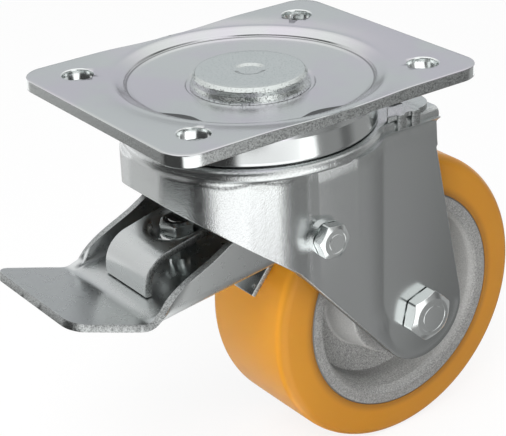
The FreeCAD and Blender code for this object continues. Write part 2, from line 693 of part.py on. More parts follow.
def wheel():
    """Tread, cast centre with its lip, dish and hub, and two ball bearings."""
    at = ("trail", "0", "-axle_drop")
    half, rim = "tread_width / 2", "rim_size / 2"
    outer, bend = "wheel_size / 2", "tread_round"
    edge = f"({half} - tread_taper)"
    turned_piece("tread", [
        (rim, f"-({half})"), (f"{outer} - {bend}", f"-({edge} - {bend})", bend),
        (outer, "0"),
        (f"{outer} - {bend}", f"{edge} - {bend}", bend), (rim, half)], at, "Y")
    lip, inside = f"({rim} - rim_lip)", f"({rim} - rim_wall)"
    web, hub, bore = "web_thickness / 2", "hub_size / 2", "bearing_size / 2"
    right = [(rim, f"{half} - rim_rounding"), (f"{rim} - rim_rounding", half), (lip, half),
             (f"{lip} - rim_flank", f"{half} - rim_step"), (inside, f"{half} - rim_step - rim_flank"),
             (f"{inside} - rim_draft - web_fillet", f"{web} + web_fillet", "-web_fillet"),
             (f"({inside} + {hub}) / 2", web),
             (f"{hub} + hub_draft + web_fillet", f"{web} + web_fillet", "-web_fillet"),
             (hub, "hub_width / 2 - hub_chamfer"), (f"{hub} - hub_chamfer", "hub_width / 2"),
             (bore, "hub_width / 2"), (bore, BEARING_IN), (f"{bore} - bearing_ledge", BEARING_IN)]
    left = [(spot[0], f"-({spot[1]})", *spot[2:]) for spot in reversed(right)]
    turned_piece("wheel_centre", right + left, at, "Y")
    middle, gap = "(bearing_bore + bearing_size) / 4", "ball_clearance"
    for side, name in ((-1, "near"), (1, "far")):
        low, high = sorted((f"{side} * {BEARING_IN}", f"{side} * {BEARING_OUT}"), key=number)
        centre = f"({low} + {high}) / 2"
        body = tube(f"bearing_outer_{name}", f"{bore} - ring_wall", bore, low, high, at, "Y")
        groove_ring(body, f"bearing_outer_{name}", middle, centre, f"bearing_ball / 2 + {gap}")
        body = tube(f"bearing_inner_{name}", "bearing_bore / 2", "bearing_bore / 2 + ring_wall",
                    low, high, at, "Y")
        groove_ring(body, f"bearing_inner_{name}", middle, centre, f"bearing_ball / 2 + {gap}")
        balls(f"bearing_balls_{name}", "bearing_ball_count", "bearing_ball / 2", middle, centre, at, "Y")
        face = f"{side} * ({BEARING_OUT} - shield_setback)"
        back = f"{side} * ({BEARING_OUT} - shield_setback - shield_sheet)"
        low, high = sorted((face, back), key=number)
        tube(f"bearing_shield_{name}", "bearing_bore / 2 + ring_wall + shield_gap", f"{bore} - ring_wall",
             low, high, at, "Y")


def axle():
    """Axle bolt, nut, washer, the sleeve between the legs and its two end spacers."""
    at = ("trail", "0", "-axle_drop")
    inside = "leg_gap / 2"
    tip = f"{PAD} + washer_sheet + axle_nut_length + axle_end"
    hex_bolt("axle_bolt", "axle_thread", "axle_flats", "axle_head", f"-{PAD}", tip, at)
    tube("axle_washer", "axle_thread / 2", "axle_washer_size / 2", PAD, f"{PAD} + washer_sheet", at, "Y")
    hex_nut("axle_nut", "axle_thread", "axle_flats", f"{PAD} + washer_sheet",
            f"{PAD} + washer_sheet + axle_nut_length * nut_hex_share", at,
            "axle_nut_length * (1 - nut_hex_share)")
    tube("axle_sleeve", "axle_thread / 2", "bearing_bore / 2", f"-{inside}", inside, at, "Y")
    for side, name in ((-1, "near"), (1, "far")):
        low, high = sorted((f"{side} * {BEARING_OUT}", f"{side} * ({inside})"), key=number)
        tube(f"axle_spacer_{name}", "bearing_bore / 2", "spacer_size / 2", low, high, at, "Y")


def pivot():
    """Bolt that the brake pedal turns on, with its sleeve, washers and nut."""
    at = (PIVOT_PLACE, "0", f"-{PIVOT_DROP}")
    inside, washer = "leg_gap / 2", "washer_sheet"
    seat = f"({LEG} + {washer})"
    tip = f"{seat} + pivot_nut_length + pivot_end"
    hex_bolt("pivot_bolt", "pivot_thread", "pivot_flats", "pivot_head", f"-{seat}", tip, at)
    rim = "pivot_washer_size / 2"
    tube("pivot_washer_near", "pivot_thread / 2", rim, f"-{seat}", f"-{LEG}", at, "Y")
    tube("pivot_washer_far", "pivot_thread / 2", rim, LEG, seat, at, "Y")
    hex_nut("pivot_nut", "pivot_thread", "pivot_flats", seat,
            f"{seat} + pivot_nut_length * nut_hex_share", at, "pivot_nut_length * (1 - nut_hex_share)")
    tube("pivot_sleeve", "pivot_thread / 2", "pivot_sleeve_size / 2", f"-{inside}", inside, at, "Y")


def pedal():
    """Pressed channel: foot, floor, two side walls with bosses about the pivot."""
    body = new_body("pedal")
    walls = new_sketch(body, "PedalWallOutline", "XZ_Plane")
    heel = (HEEL_PLACE, f"-{HEEL_DROP}")
    lip = (f"{HEEL_PLACE} + pedal_wall_start", f"-{HEEL_DROP} + pedal_sheet + pedal_wall_lip")
    outline(walls, [heel, (FLOOR_END, f"-{FLOOR_DROP}"),
                    (PIVOT_PLACE, f"-{PIVOT_DROP}", "pedal_boss_size / 2"),
                    (WALL_PLACE, f"-{WALL_DROP}"), lip])
    pad = solid(body, "Pad", "PedalWallPad", walls, "2 * pedal_half", both=True)
    doc.recompute()
    floor = FreeCAD.Vector(number(f"{FLOOR_END} - {HEEL_PLACE}"), 0,
                           number(f"{HEEL_DROP} - {FLOOR_DROP}")).normalize()
    start = [(number(HEEL_PLACE), side * number("pedal_half"), -number(HEEL_DROP))
             for side in (-1, 1)]
    names = straight_edges(pad.Shape, floor, start)
    round_edges("Fillet", "PedalBend", body, pad, names, "pedal_bend")
    channel = new_sketch(body, "PedalChannel", "XZ_Plane")
    start, end = f"({HEEL_PLACE} - cut_margin)", f"({PIVOT_PLACE} + pedal_boss_size)"
    outline(channel, [(start, floor_top(start)), (FLOOR_END, floor_top(FLOOR_END)),
                      (FLOOR_END, "-axle_drop"), (end, "-axle_drop"), (end, "0"), (start, "0")])
    solid(body, "Pocket", "PedalChannelCut", channel, "2 * (pedal_half - pedal_sheet)", both=True)
    foot = new_sketch(body, "PedalFootOutline", "XZ_Plane")
    lap = f"({HEEL_PLACE} + pedal_foot_lap)"
    outline(foot, [heel, (lap, f"{floor_top(lap)} - pedal_sheet"), (lap, floor_top(lap)),
                   (f"{HEEL_PLACE} - pedal_foot_bend", f"-{HEEL_DROP} + pedal_sheet"),
                   (TIP_PLACE, f"-{TIP_DROP} + pedal_sheet"), (TIP_PLACE, f"-{TIP_DROP}")])
    solid(body, "Pad", "PedalFootPad", foot, "2 * pedal_half", both=True)
    trim = new_sketch(body, "PedalFootTrim")
    edge, wide = f"({TIP_PLACE} - cut_margin)", "(pedal_half + cut_margin)"
    taper = f"({HEEL_PLACE} - pedal_taper_start)"
    for side in (1, -1):
        outline(trim, [(edge, f"{side} * pedal_tip_half"), (TIP_PLACE, f"{side} * pedal_tip_half"),
                       (taper, f"{side} * pedal_half"), (taper, f"{side} * {wide}"),
                       (edge, f"{side} * {wide}")])
    cut = solid(body, "Pocket", "PedalFootTrimCut", trim, through=True, both=True)
    doc.recompute()
    corners = [(number(TIP_PLACE), side * number("pedal_tip_half"), 0) for side in (-1, 1)]
    names = straight_edges(cut.Shape, (0, 0, 1), corners)
    round_edges("Fillet", "PedalFootRound", body, cut, names, "pedal_tip_round")
    bores = new_sketch(body, "PedalBores", "XZ_Plane")
    ring(bores, "pivot_sleeve_size / 2 + pivot_play", PIVOT_PLACE, f"-{PIVOT_DROP}")
    solid(body, "Pocket", "PedalBoresCut", bores, through=True, both=True)
    clamp = new_sketch(body, "PedalClampBore")
    ring(clamp, "clamp_thread / 2", CLAMP_PLACE, "0")
    solid(body, "Pocket", "PedalClampBoreCut", clamp, through=True, both=True)


def brake_strap():
    """Bent leaf over the pedal's channel, its toe turned down to the floor, dimpled for the bolt."""
    body = new_body("brake_strap")
    sketch = new_sketch(body, "StrapProfile", "XZ_Plane")
    toe, nose = f"({TOE_PLACE} + strap_sheet)", f"({TOE_PLACE} + strap_nose_round)"
    low = f"{floor_top(toe)} + strap_gap"
    lean = "cos(strap_slope * 1 deg)"
    centre = f"{strap_top(nose)} - strap_nose_round / {lean}"
    outline(sketch, [(TOE_PLACE, low), (toe, low), (nose, centre, "-(strap_nose_round - strap_sheet)"),
                     (TAIL_PLACE, f"{strap_top(TAIL_PLACE)} - strap_sheet / {lean}"),
                     (TAIL_PLACE, strap_top(TAIL_PLACE)), (nose, centre, "strap_nose_round")])
    solid(body, "Pad", "StrapPad", sketch, "strap_width", both=True)
    dimple = new_sketch(body, "StrapDimple", "XY_Plane", strap_top(CLAMP_PLACE))
    ring(dimple, "dimple_size / 2", CLAMP_PLACE, "0")
    solid(body, "Pad", "StrapDimplePad", dimple, "strap_sheet + dimple_depth", back=True)
    hollow = new_sketch(body, "StrapDimpleHollow", "XY_Plane", f"{strap_top(CLAMP_PLACE)} + dimple_depth")
    ring(hollow, "dimple_size / 2 - dimple_wall", CLAMP_PLACE, "0")
    solid(body, "Pocket", "StrapDimpleCut", hollow, "2 * dimple_depth")
    bore = new_sketch(body, "StrapBore")
    ring(bore, "clamp_thread / 2", CLAMP_PLACE, "0")
    solid(body, "Pocket", "StrapBoreCut", bore, through=True, both=True)


def clamp_bolt():
    """Bolt through the strap and the pedal's floor, with a nut under the strap."""
    seat = f"({strap_top(CLAMP_PLACE)} - dimple_depth)"
    under = f"({strap_top(CLAMP_PLACE)} - strap_sheet - dimple_depth)"
    tip = f"({floor_top(CLAMP_PLACE)} - pedal_sheet)"
    at = (CLAMP_PLACE, "0", "0")
    body = new_body("clamp_bolt", at)
    sketch = hexagon(body, "ClampBoltHead", "clamp_flats", seat)
    solid(body, "Pad", "ClampBoltHeadPad", sketch, "clamp_head")
    corner_cut(body, "ClampBoltHeadCut", "clamp_flats", f"({seat} + clamp_head)", "-1")
    shank = new_sketch(body, "ClampBoltShank", "XY_Plane", seat)
    ring(shank, "clamp_thread / 2")
    solid(body, "Pad", "ClampBoltShankPad", shank, f"{seat} - {tip}", back=True)
    body = new_body("clamp_nut", at)
    sketch = hexagon(body, "ClampNutOutline", "clamp_flats", under)
    ring(sketch, "clamp_thread / 2")
    solid(body, "Pad", "ClampNutPad", sketch, "clamp_nut_length", back=True)
    corner_cut(body, "ClampNutCut", "clamp_flats", f"({under} - clamp_nut_length)", "1")


def brake_shoe():
    """Folded plate under the pedal's floor, its free face held off the tread."""
    body = new_body("brake_shoe")
    sketch = new_sketch(body, "ShoeProfile", "XZ_Plane")
    fold = f"({FLOOR_END} - shoe_setback)"
    front = f"({fold} - shoe_seat_length)"
    under = f"({floor_top(fold)} - pedal_sheet)"
    under_front = f"({floor_top(front)} - pedal_sheet)"
    knee = f"({under} - shoe_knee)"
    slope = "(shoe_fall / shoe_back)"
    lean = f"sqrt(1 + {slope} * {slope})"
    outline(sketch, [(front, under_front), (front, f"{under_front} - shoe_sheet"),
                     (f"{fold} - shoe_sheet", f"{under} - shoe_sheet"),
                     (f"{fold} - shoe_sheet", f"{knee} - {slope} * shoe_sheet + {lean} * shoe_sheet"),
                     (f"{fold} - shoe_back - shoe_sheet * {slope} / {lean}",
                      f"{knee} - shoe_fall + shoe_sheet / {lean}"),
                     (f"{fold} - shoe_back", f"{knee} - shoe_fall"), (fold, knee), (fold, under)])
    solid(body, "Pad", "ShoePad", sketch, "2 * shoe_half", both=True)


for make in (top_plate, swivel_head, fork, lock_plate, wheel, axle, pivot, pedal, brake_strap,
             clamp_bolt, brake_shoe):
    make()
doc.recompute()

faults = [f"{item.Label}: {item.State}" for item in doc.Objects
          if "Invalid" in item.State or "Error" in item.State]
bodies = [item for item in doc.Objects if item.TypeId == "PartDesign::Body"]
for item in bodies:
    if item.Shape.isNull() or not item.Shape.isValid() or not item.Shape.Solids:
        faults.append(f"{item.Label}: no valid solid")
if faults:
    raise RuntimeError("; ".join(faults))

os.makedirs("parts", exist_ok=True)
for item in bodies:
    item.Shape.exportStep(f"parts/{item.Label}.step")
    print(item.Label, len(item.Shape.Solids), round(item.Shape.Volume, 1))
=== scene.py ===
"""Looks of a braked swivel castor: zinc plated steel, amber polyurethane and grey cast metal.

Lengths are metres in the part's own frame: +Z up through the plate, the wheel trails to +X,
the pedal points to -X and the axles lie along Y. Each piece is worked out as arrays.
"""
import json
import math

import bmesh
import bpy
import numpy as np
from mathutils import Matrix, Vector


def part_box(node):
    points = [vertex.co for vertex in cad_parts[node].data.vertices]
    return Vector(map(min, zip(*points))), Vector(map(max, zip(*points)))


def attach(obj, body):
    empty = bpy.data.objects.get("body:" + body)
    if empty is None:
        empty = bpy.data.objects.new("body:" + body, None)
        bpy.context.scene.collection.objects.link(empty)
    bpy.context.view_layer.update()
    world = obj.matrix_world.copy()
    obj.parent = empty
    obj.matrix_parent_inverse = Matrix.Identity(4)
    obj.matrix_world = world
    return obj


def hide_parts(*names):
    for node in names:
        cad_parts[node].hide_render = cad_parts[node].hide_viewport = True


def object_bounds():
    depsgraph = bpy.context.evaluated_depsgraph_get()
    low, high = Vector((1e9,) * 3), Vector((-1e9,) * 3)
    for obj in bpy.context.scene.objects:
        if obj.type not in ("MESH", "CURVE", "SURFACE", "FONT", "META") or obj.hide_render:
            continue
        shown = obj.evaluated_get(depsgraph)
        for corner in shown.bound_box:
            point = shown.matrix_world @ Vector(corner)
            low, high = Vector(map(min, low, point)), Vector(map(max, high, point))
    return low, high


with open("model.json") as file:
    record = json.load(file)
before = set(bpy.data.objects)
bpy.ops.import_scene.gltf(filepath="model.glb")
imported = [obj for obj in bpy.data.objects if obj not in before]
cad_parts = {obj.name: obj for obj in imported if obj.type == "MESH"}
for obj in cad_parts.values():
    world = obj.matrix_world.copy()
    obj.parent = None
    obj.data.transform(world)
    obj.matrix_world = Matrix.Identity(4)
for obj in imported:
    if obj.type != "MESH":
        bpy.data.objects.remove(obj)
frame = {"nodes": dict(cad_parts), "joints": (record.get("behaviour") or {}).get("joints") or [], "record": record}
CAD_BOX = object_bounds()

bl_info = {
    "name": "Swivel Castor",
    "version": (1, 0, 0),
    "blender": (4, 5, 0),
    "location": "View3D > Sidebar > Castor",
    "description": "Builds the surfaces and finishes of a braked swivel castor",
    "category": "Object",
}

MM = 0.001
FLOOR_LEVEL = CAD_BOX[0][2]
MERGE = 0.002 * MM  # points closer than this become one
PLATE_SHEET = 5.0 * MM
STEM = 9.0 * MM  # radius of the kingpin and of its hole in the plate


def node_box(name):
    """Lowest and highest corner of a node of the frame."""
    low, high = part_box(name)
    return np.array(low), np.array(high)


def joint_place(name):
    """Point that a joint turns about."""
    return np.array(next(joint["pos_m"] for joint in frame["joints"] if joint["name"] == name))


AXLE = joint_place("wheel_spin")
PIVOT = joint_place("brake_pedal")


# Settings a user would change

class CastorPlate(bpy.types.PropertyGroup):
    """Sizes of the top plate's pressing and of its edge"""
    edge_round: bpy.props.FloatProperty(
        name="Edge rounding", description="Radius on the plate's upper edge", default=0.5 * MM,
        unit="LENGTH")
    hole_round: bpy.props.FloatProperty(
        name="Hole rounding", description="Flare at the mouth of each bolt hole", default=0.7 * MM,
        unit="LENGTH")
    ring_rise: bpy.props.FloatProperty(
        name="Ring rise", description="Height of the soft ridge round the pressed centre",
        default=0.25 * MM, unit="LENGTH")


class CastorWheel(bpy.types.PropertyGroup):
    """Sizes and colours of the wheel"""
    tread_colour: bpy.props.FloatVectorProperty(
        name="Tread colour", description="Colour of the cast polyurethane", subtype="COLOR",
        default=(0.565, 0.25, 0.020))
    cast_colour: bpy.props.FloatVectorProperty(
        name="Cast colour", description="Colour of the cast wheel centre", subtype="COLOR",
        default=(0.40, 0.40, 0.392))
    tread_round: bpy.props.FloatProperty(
        name="Tread rounding", description="Radius of the tread's shoulders", default=4.6 * MM,
        unit="LENGTH")


class CastorZinc(bpy.types.PropertyGroup):
    """Finish of the plated steel"""
    bright: bpy.props.FloatVectorProperty(
        name="Bright zinc", description="Cool colour of the plating", subtype="COLOR",
        default=(0.675, 0.70, 0.695))
    violet: bpy.props.FloatVectorProperty(
        name="Violet zinc", description="Warmer violet cast of the plating", subtype="COLOR",
        default=(0.68, 0.66, 0.71))
    roughness: bpy.props.FloatProperty(
        name="Roughness", description="Mean roughness of the plating", default=0.24,
        min=0.0, max=1.0, subtype="FACTOR")
    grain: bpy.props.FloatProperty(
        name="Grain", description="Depth of the fine grain in the plating", default=0.012 * MM,
        unit="LENGTH")


# Shader sums

def rgba(colour):
    """Four parts of a colour of three parts, or of a grey given as one number."""
    return (*np.broadcast_to(colour, 3), 1.0)


def scaled(colour, share):
    """Colour with its parts times a share, or each part times its own share."""
    return tuple(np.array(tuple(colour)) * share)


class Wire:
    """Output socket of a shader node that takes part in Python sums."""

    def __init__(self, tree, socket=None):
        self.tree = tree
        self.socket = socket

    def node(self, kind, settings=None, values=None, out=0):
        """New node of a kind: its settings first, then values or wires for its sockets."""
        made = self.tree.nodes.new(kind)
        for name, value in (settings or {}).items():
            if name == "stops":
                ramp = made.color_ramp
                while len(ramp.elements) < len(value):
                    ramp.elements.new(1.0)
                for element, (place, colour) in zip(ramp.elements, value):
                    element.position = place
                    element.color = rgba(colour)
            else:
                setattr(made, name, value)
        for name, value in (values or {}).items():
            if isinstance(value, Wire):
                self.tree.links.new(value.socket, made.inputs[name])
            else:
                made.inputs[name].default_value = value
        return Wire(self.tree, made.outputs[out])

    def maths(self, operation, first, second=0.0):
        """Math node of one operation on wires or numbers."""
        return self.node("ShaderNodeMath", {"operation": operation}, {0: first, 1: second})

    def __add__(self, other):
        return self.maths("ADD", self, other)

    __radd__ = __add__

    def __sub__(self, other):
        return self.maths("SUBTRACT", self, other)

    def __rsub__(self, other):
        return self.maths("SUBTRACT", other, self)

    def __mul__(self, other):
        return self.maths("MULTIPLY", self, other)

    __rmul__ = __mul__

    def __truediv__(self, other):
        return self.maths("DIVIDE", self, other)

    def __abs__(self):
        return self.maths("ABSOLUTE", self)

    def reach(self, other):
        """Distance from the origin of a plane whose coordinates are this wire and another."""
        return self.maths("SQRT", self * self + other * other)

    def turn(self, other):
        """Share of a full turn from this wire's axis towards the other's, from 0 to 1."""
        return self.maths("FRACT", self.maths("ARCTAN2", other, self) / (2 * math.pi) + 1.0)

    def step(self, low, high):
        """Smooth rise from 0 at low to 1 at high."""
        return self.node("ShaderNodeMapRange", {"interpolation_type": "SMOOTHSTEP"},
                         {0: self, 1: low, 2: high, 3: 0.0, 4: 1.0})

    def mix(self, first, second):
        """Colour between two, by this wire as the share of the second; a number is a grey."""
        colours = [value if isinstance(value, Wire) else rgba(value) for value in (first, second)]
        return self.node("ShaderNodeMix", {"data_type": "RGBA"}, {0: self, 6: colours[0], 7: colours[1]}, 2)

    def noise(self, place, scale, detail=2.0, roughness=0.5):
        """Fractal noise from 0 to 1 at a place, with its scale in waves per metre."""
        return self.node("ShaderNodeTexNoise", None,
                         {"Vector": place, "Scale": scale, "Detail": detail, "Roughness": roughness})

    def ramp(self, stops):
        """Colour along a list of stops (place, colour), at this wire's value."""
        return self.node("ShaderNodeValToRGB", {"stops": stops}, {0: self})

    def ray(self, kind):
        """1 for rays of a kind, 0 for the others."""
        return self.node("ShaderNodeLightPath", out=f"Is {kind} Ray")

    def split(self):
        """The X, Y and Z wires of this vector."""
        made = self.tree.nodes.new("ShaderNodeSeparateXYZ")
        self.tree.links.new(self.socket, made.inputs[0])
        return [Wire(self.tree, output) for output in made.outputs]


def node_of(tree, kind):
    """The one node of a type that a new tree comes with."""
    return next(node for node in tree.nodes if node.type == kind)


def new_material(name):
    """Empty material, its first wire, its place wire and its main shader."""
    material = bpy.data.materials.new(name)
    material.use_nodes = True
    wire = Wire(material.node_tree)
    place = wire.node("ShaderNodeTexCoord", out="Object")
    return material, wire, place, node_of(material.node_tree, "BSDF_PRINCIPLED")


def plug(wire, shader, depth=None, height=None, **values):
    """Send wires or numbers to a shader's sockets, named with low lines for spaces; a height
    wire becomes a bump that rises by the depth where the height is 1."""
    if height is not None:
        values["Normal"] = wire.node("ShaderNodeBump", None,
                                     {"Strength": 1.0, "Distance": depth, "Height": height})
    for name, value in values.items():
        socket = shader.inputs[name.replace("_", " ")]
        if isinstance(value, Wire):
            wire.tree.links.new(value.socket, socket)
        else:
            socket.default_value = value


def zinc(name, zinc_look, shade=1.0, rough=0.0, grain=1.0, cloud=26.0, tint=1.0, calm=1.0,
         painted_shade_radius=0.0, sides=0.0):
    """Bright zinc plating: clouds of cool and violet tint, grain that breaks up its reflections.
    The sheet's own value of wear and painted shade lets the grain out at the bends, and above 1 it
    paints shade, a dark line along the shoulder's foot for the shade in the hollow under it; calm is
    the grain's share elsewhere; the ring radius paints shade, a dark line where the sheet steps down,
    and sides is the half width beyond which upright flanges get a painted shade, darker for the
    darker reflection they show."""
    material, wire, place, shader = new_material(name)
    across, along, _ = place.split()
    sheet_wear_and_shade = wire.node("ShaderNodeAttribute", {"attribute_name": "worn"}, out="Fac")
    # the grain's share: the wear up to 1, with the painted shade above 1 cut off here
    worn = wire.maths("MINIMUM", sheet_wear_and_shade, 1.0) * (1.0 - calm) + calm
    clouds = wire.noise(place, cloud, 3.0, 0.55)
    patches = wire.noise(place, 240.0, 3.0, 0.6)
    grains = wire.noise(place, 1800.0 if calm < 1.0 else 1500.0, 3.0, 0.65)
    bright, violet = scaled(zinc_look.bright, shade), scaled(zinc_look.violet, shade)
    dark_grain_and_shade = scaled(bright, 0.45)
    base = clouds.step(0.42, 0.62).mix(bright, np.add(scaled(violet, tint), scaled(bright, 1 - tint)))
    base = (grains.step(0.50, 0.60) * worn * min(0.18, 0.03 * grain)).mix(base, dark_grain_and_shade)
    # painted shade: where the value is above 1 the colour darkens into a dark line at the shoulder's foot
    base = (sheet_wear_and_shade.step(1.0, 1.7) * (0.5 + 0.5 * grains.step(0.40, 0.60))).mix(base, scaled(bright, 0.22))
    roughness = zinc_look.roughness + rough - 0.05 + patches * 0.06 + worn * grains * 0.04
    if calm < 1.0:
        roughness = roughness + across.step(18 * MM, 34 * MM) * 0.08
    if painted_shade_radius:
        # painted shade: a dark line round the step that widens inwards into two dark crescents on the near side,
        # towards the camera, by the pedal and the bolts
        radius = across.reach(along)
        front = (across * -0.58 + along * -0.814) / radius
        front = front.step(0.60, 0.82) * (1.0 - front.step(0.84, 0.985))
        line = (radius + front * 5.4 * MM).step(painted_shade_radius - 0.7 * MM, painted_shade_radius - 0.2 * MM)
        line = line * (1.0 - radius.step(painted_shade_radius, painted_shade_radius + 0.4 * MM))
        base = (line * (front * 0.9 + 0.6)).mix(base, scaled(bright, 0.08))
    if sides:
        # painted shade: the pedal's outer flanges are darkened to stand in for the darker reflection they show
        flange_shade = abs(along).step(sides, sides + 0.6 * MM) * across.step(-70 * MM, -62 * MM)
        base = (flange_shade * 0.5).mix(base, dark_grain_and_shade)
    plug(wire, shader, zinc_look.grain * grain, (grains + patches * 0.5 - 0.75) * worn,
         Base_Color=base, Roughness=roughness, Metallic=1.0)
    return material


def dented_zinc(name):
    """Plating over a forged head: fine dark pits and dents, sparse on top, crowded on the flank."""
    material, wire, place, shader = new_material(name)
    grains = wire.noise(place, 1500.0, 3.0, 0.65)
    dents = wire.noise(place, 420.0, 3.0, 0.6)
    flank = 1.0 - place.split()[2].step(-1.3 * MM, -0.5 * MM)
    base = wire.noise(place, 120.0, 2.0, 0.5).mix((0.68, 0.73, 0.71), (0.74, 0.77, 0.76))
    base = (grains.step(0.55, 0.63) * (0.30 + flank * 0.6)).mix(base, (0.16, 0.17, 0.17))
    plug(wire, shader, 0.07 * MM, (grains * 0.9 + dents) * (0.25 + flank),
         Base_Color=base, Roughness=0.13 + grains * 0.08, Metallic=1.0)
    return material


def sheared_zinc(name, zinc_look, shade=0.72):
    """Plating over a sheared edge: torn grains across the sheet, rough and speckled, but smooth
    and bright round the plate's corners."""
    material, wire, place, shader = new_material(name)
    grains = wire.noise(place, 1900.0, 3.0, 0.7)
    tears = wire.noise(place, 700.0, 2.0, 0.6)
    dark, light = (scaled(zinc_look.bright, share * shade) for share in (0.50, 1.15))
    across, along, up = place.split()
    torn = 1.0 - (abs(across).step(59.5 * MM, 63.0 * MM) * abs(along).step(44.5 * MM, 48.0 * MM)
                  * up.step(-8 * MM, -6 * MM))
    base = torn.mix(scaled(light, 1.5), grains.step(0.36, 0.60).mix(dark, light))
    plug(wire, shader, 0.10 * MM, (grains * 0.6 + tears) * (0.08 + torn * 0.92),
         Base_Color=base, Roughness=0.16 + torn * (0.16 + grains * 0.16), Metallic=1.0)
    return material


def ground_steel(name):
    """Hardened bearing steel with fine turning marks."""
    material, wire, place, shader = new_material(name)
    marks = wire.noise(place, 900.0, 2.0, 0.5)
    plug(wire, shader, 0.004 * MM, marks, Base_Color=marks.mix((0.46, 0.46, 0.47), (0.60, 0.60, 0.61)),
         Roughness=0.24 + marks * 0.1, Metallic=1.0)
    return material


def from_axle(place):
    """Wires of a place's X and Z from the wheel's axle, and its distance from the axle."""
    across, _, up = place.split()
    away, drop = across - float(AXLE[0]), up - float(AXLE[2])
    return away, drop, away.reach(drop)


def cast_grey(name, colour):
    """Sand cast metal under thin grey paint: coarse pimples with pale crests and dark pits. Round the
    axle it has a darker lip, a dark joint with the tread, and painted light: painted shade on the
    front of the rim's inner wall and on the hub's face, painted highlights on the rear of that wall
    and on the hub's flank."""
    material, wire, place, shader = new_material(name)
    pits = wire.noise(place, 1700.0, 3.0, 0.6)
    lumps = wire.noise(place, 600.0, 3.0, 0.6)
    base = pits.step(0.36, 0.50).mix(scaled(colour, 0.58), colour)
    base = pits.step(0.53, 0.68).mix(base, scaled(colour, 1.55))
    away, _, reach = from_axle(place)
    shallow = 1.0 - abs(place.split()[1]).step(12.5 * MM, 18.0 * MM)
    rear = away.step(-20 * MM, 44 * MM)
    wall = reach.step(37.4 * MM, 38.0 * MM) * (1.0 - reach.step(40.6 * MM, 41.8 * MM))
    lip, joint = reach.step(41.4 * MM, 42.2 * MM), reach.step(46.1 * MM, 46.6 * MM)
    flank = reach.step(23.6 * MM, 24.2 * MM) * (1.0 - reach.step(26.6 * MM, 27.6 * MM))
    hub_face_shade = 1.0 - reach.step(23.0 * MM, 23.6 * MM)
    # painted light: painted shade on the front of the rim's inner wall and on the hub's face, painted highlights
    # on the rear of the wall and on the hub's flank; the lip is darker and the joint with the tread dark
    for zone, share, tone in ((wall * (1.0 - rear) * shallow, 0.55, 0.30), (wall * rear, 0.5, 1.9),
                              (lip, 0.42, 0.45), (joint, 0.8, 0.25), (flank, 0.6, 2.1),
                              (hub_face_shade, 0.35, 0.4)):
        base = (zone * share).mix(base, scaled(colour, tone))
    plug(wire, shader, 0.09 * MM, pits + lumps * 0.8,
         Base_Color=base, Roughness=0.42 + pits * 0.16, Metallic=0.2)
    return material


def polyurethane(name, colour):
    """Amber cast polyurethane: satin, paler on the running face, and browner by the wheel's rim with a painted
    shade.
    """
    material, wire, place, shader = new_material(name)
    radius = from_axle(place)[2]
    low, high = node_box("tread")
    outer = 0.5 * (high[2] - low[2])
    # painted shade: the tread turns browner and darker towards the wheel's rim
    rim = radius.step(float(outer - 15.2 * MM), float(outer - 11.5 * MM))
    crown = radius.step(float(outer - 1.6 * MM), float(outer))
    clouds = wire.noise(place, 28.0, 3.0, 0.5)
    fine = wire.noise(place, 800.0, 2.0, 0.5)
    base = rim.mix(scaled(colour, (0.62, 0.60, 0.9)), clouds.mix(colour, scaled(colour, (0.88, 0.82, 0.6))))
    base = crown.mix(base, scaled(colour, (1.35, 1.32, 1.3)))
    plug(wire, shader, 0.01 * MM, fine, Base_Color=base, Roughness=0.36 + clouds * 0.08, Metallic=0.0)
    plug(wire, shader, Subsurface_Weight=0.22, Subsurface_Radius=(0.006, 0.0025, 0.0006),
         Subsurface_Scale=1.0, Coat_Weight=0.10, Coat_Roughness=0.22, Specular_IOR_Level=0.32)
    return material


MATERIALS = {}


def finishes(context):
    """Every finish of the castor, made once."""
    if MATERIALS:
        return MATERIALS
    look, wheel = context.scene.castor_zinc, context.scene.castor_wheel
    MATERIALS.update({
        "plate": zinc("plate_zinc", look, shade=1.02, rough=-0.02, grain=0.35, cloud=24.0, painted_shade_radius=47.2 * MM),
        "fork": zinc("fork_zinc", look, rough=-0.08, grain=9.0, tint=0.15, calm=0.04),
        "brake": zinc("brake_zinc", look, rough=0.05, grain=1.2, tint=0.1, calm=0.5, sides=28.7 * MM),
        "bolt": zinc("bolt_zinc", look, shade=1.28, rough=-0.05, grain=1.2, cloud=90.0, tint=0.0),
        "pin": dented_zinc("kingpin_zinc"),
        "edge": sheared_zinc("sheared_zinc", look),
        "steel": ground_steel("race_steel"),
        "cast": cast_grey("cast_grey", tuple(wheel.cast_colour)),
        "tread": polyurethane("amber_polyurethane", tuple(wheel.tread_colour)),
    })
    return MATERIALS


# Meshes from arrays

def linked(name, data):
    """New object of the scene from its data, at the origin."""
    made = bpy.data.objects.new(name, data)
    bpy.context.scene.collection.objects.link(made)
    return made


def round_turn(steps):
    """Angles at even steps round a full turn."""
    return np.linspace(0.0, 2 * math.pi, steps, endpoint=False)


def grid_faces(rows, columns, wrap_rows=False, wrap_columns=True):
    """Four-sided faces over a grid of points laid out row by row."""
    row = np.arange(rows if wrap_rows else rows - 1)[:, None]
    column = np.arange(columns if wrap_columns else columns - 1)[None, :]
    next_row, next_column = (row + 1) % rows, (column + 1) % columns
    corners = [row * columns + column, row * columns + next_column,
               next_row * columns + next_column, next_row * columns + column]
    return np.stack([np.broadcast_to(corner, np.broadcast_shapes(row.shape, column.shape)).ravel()
                     for corner in corners], axis=1)


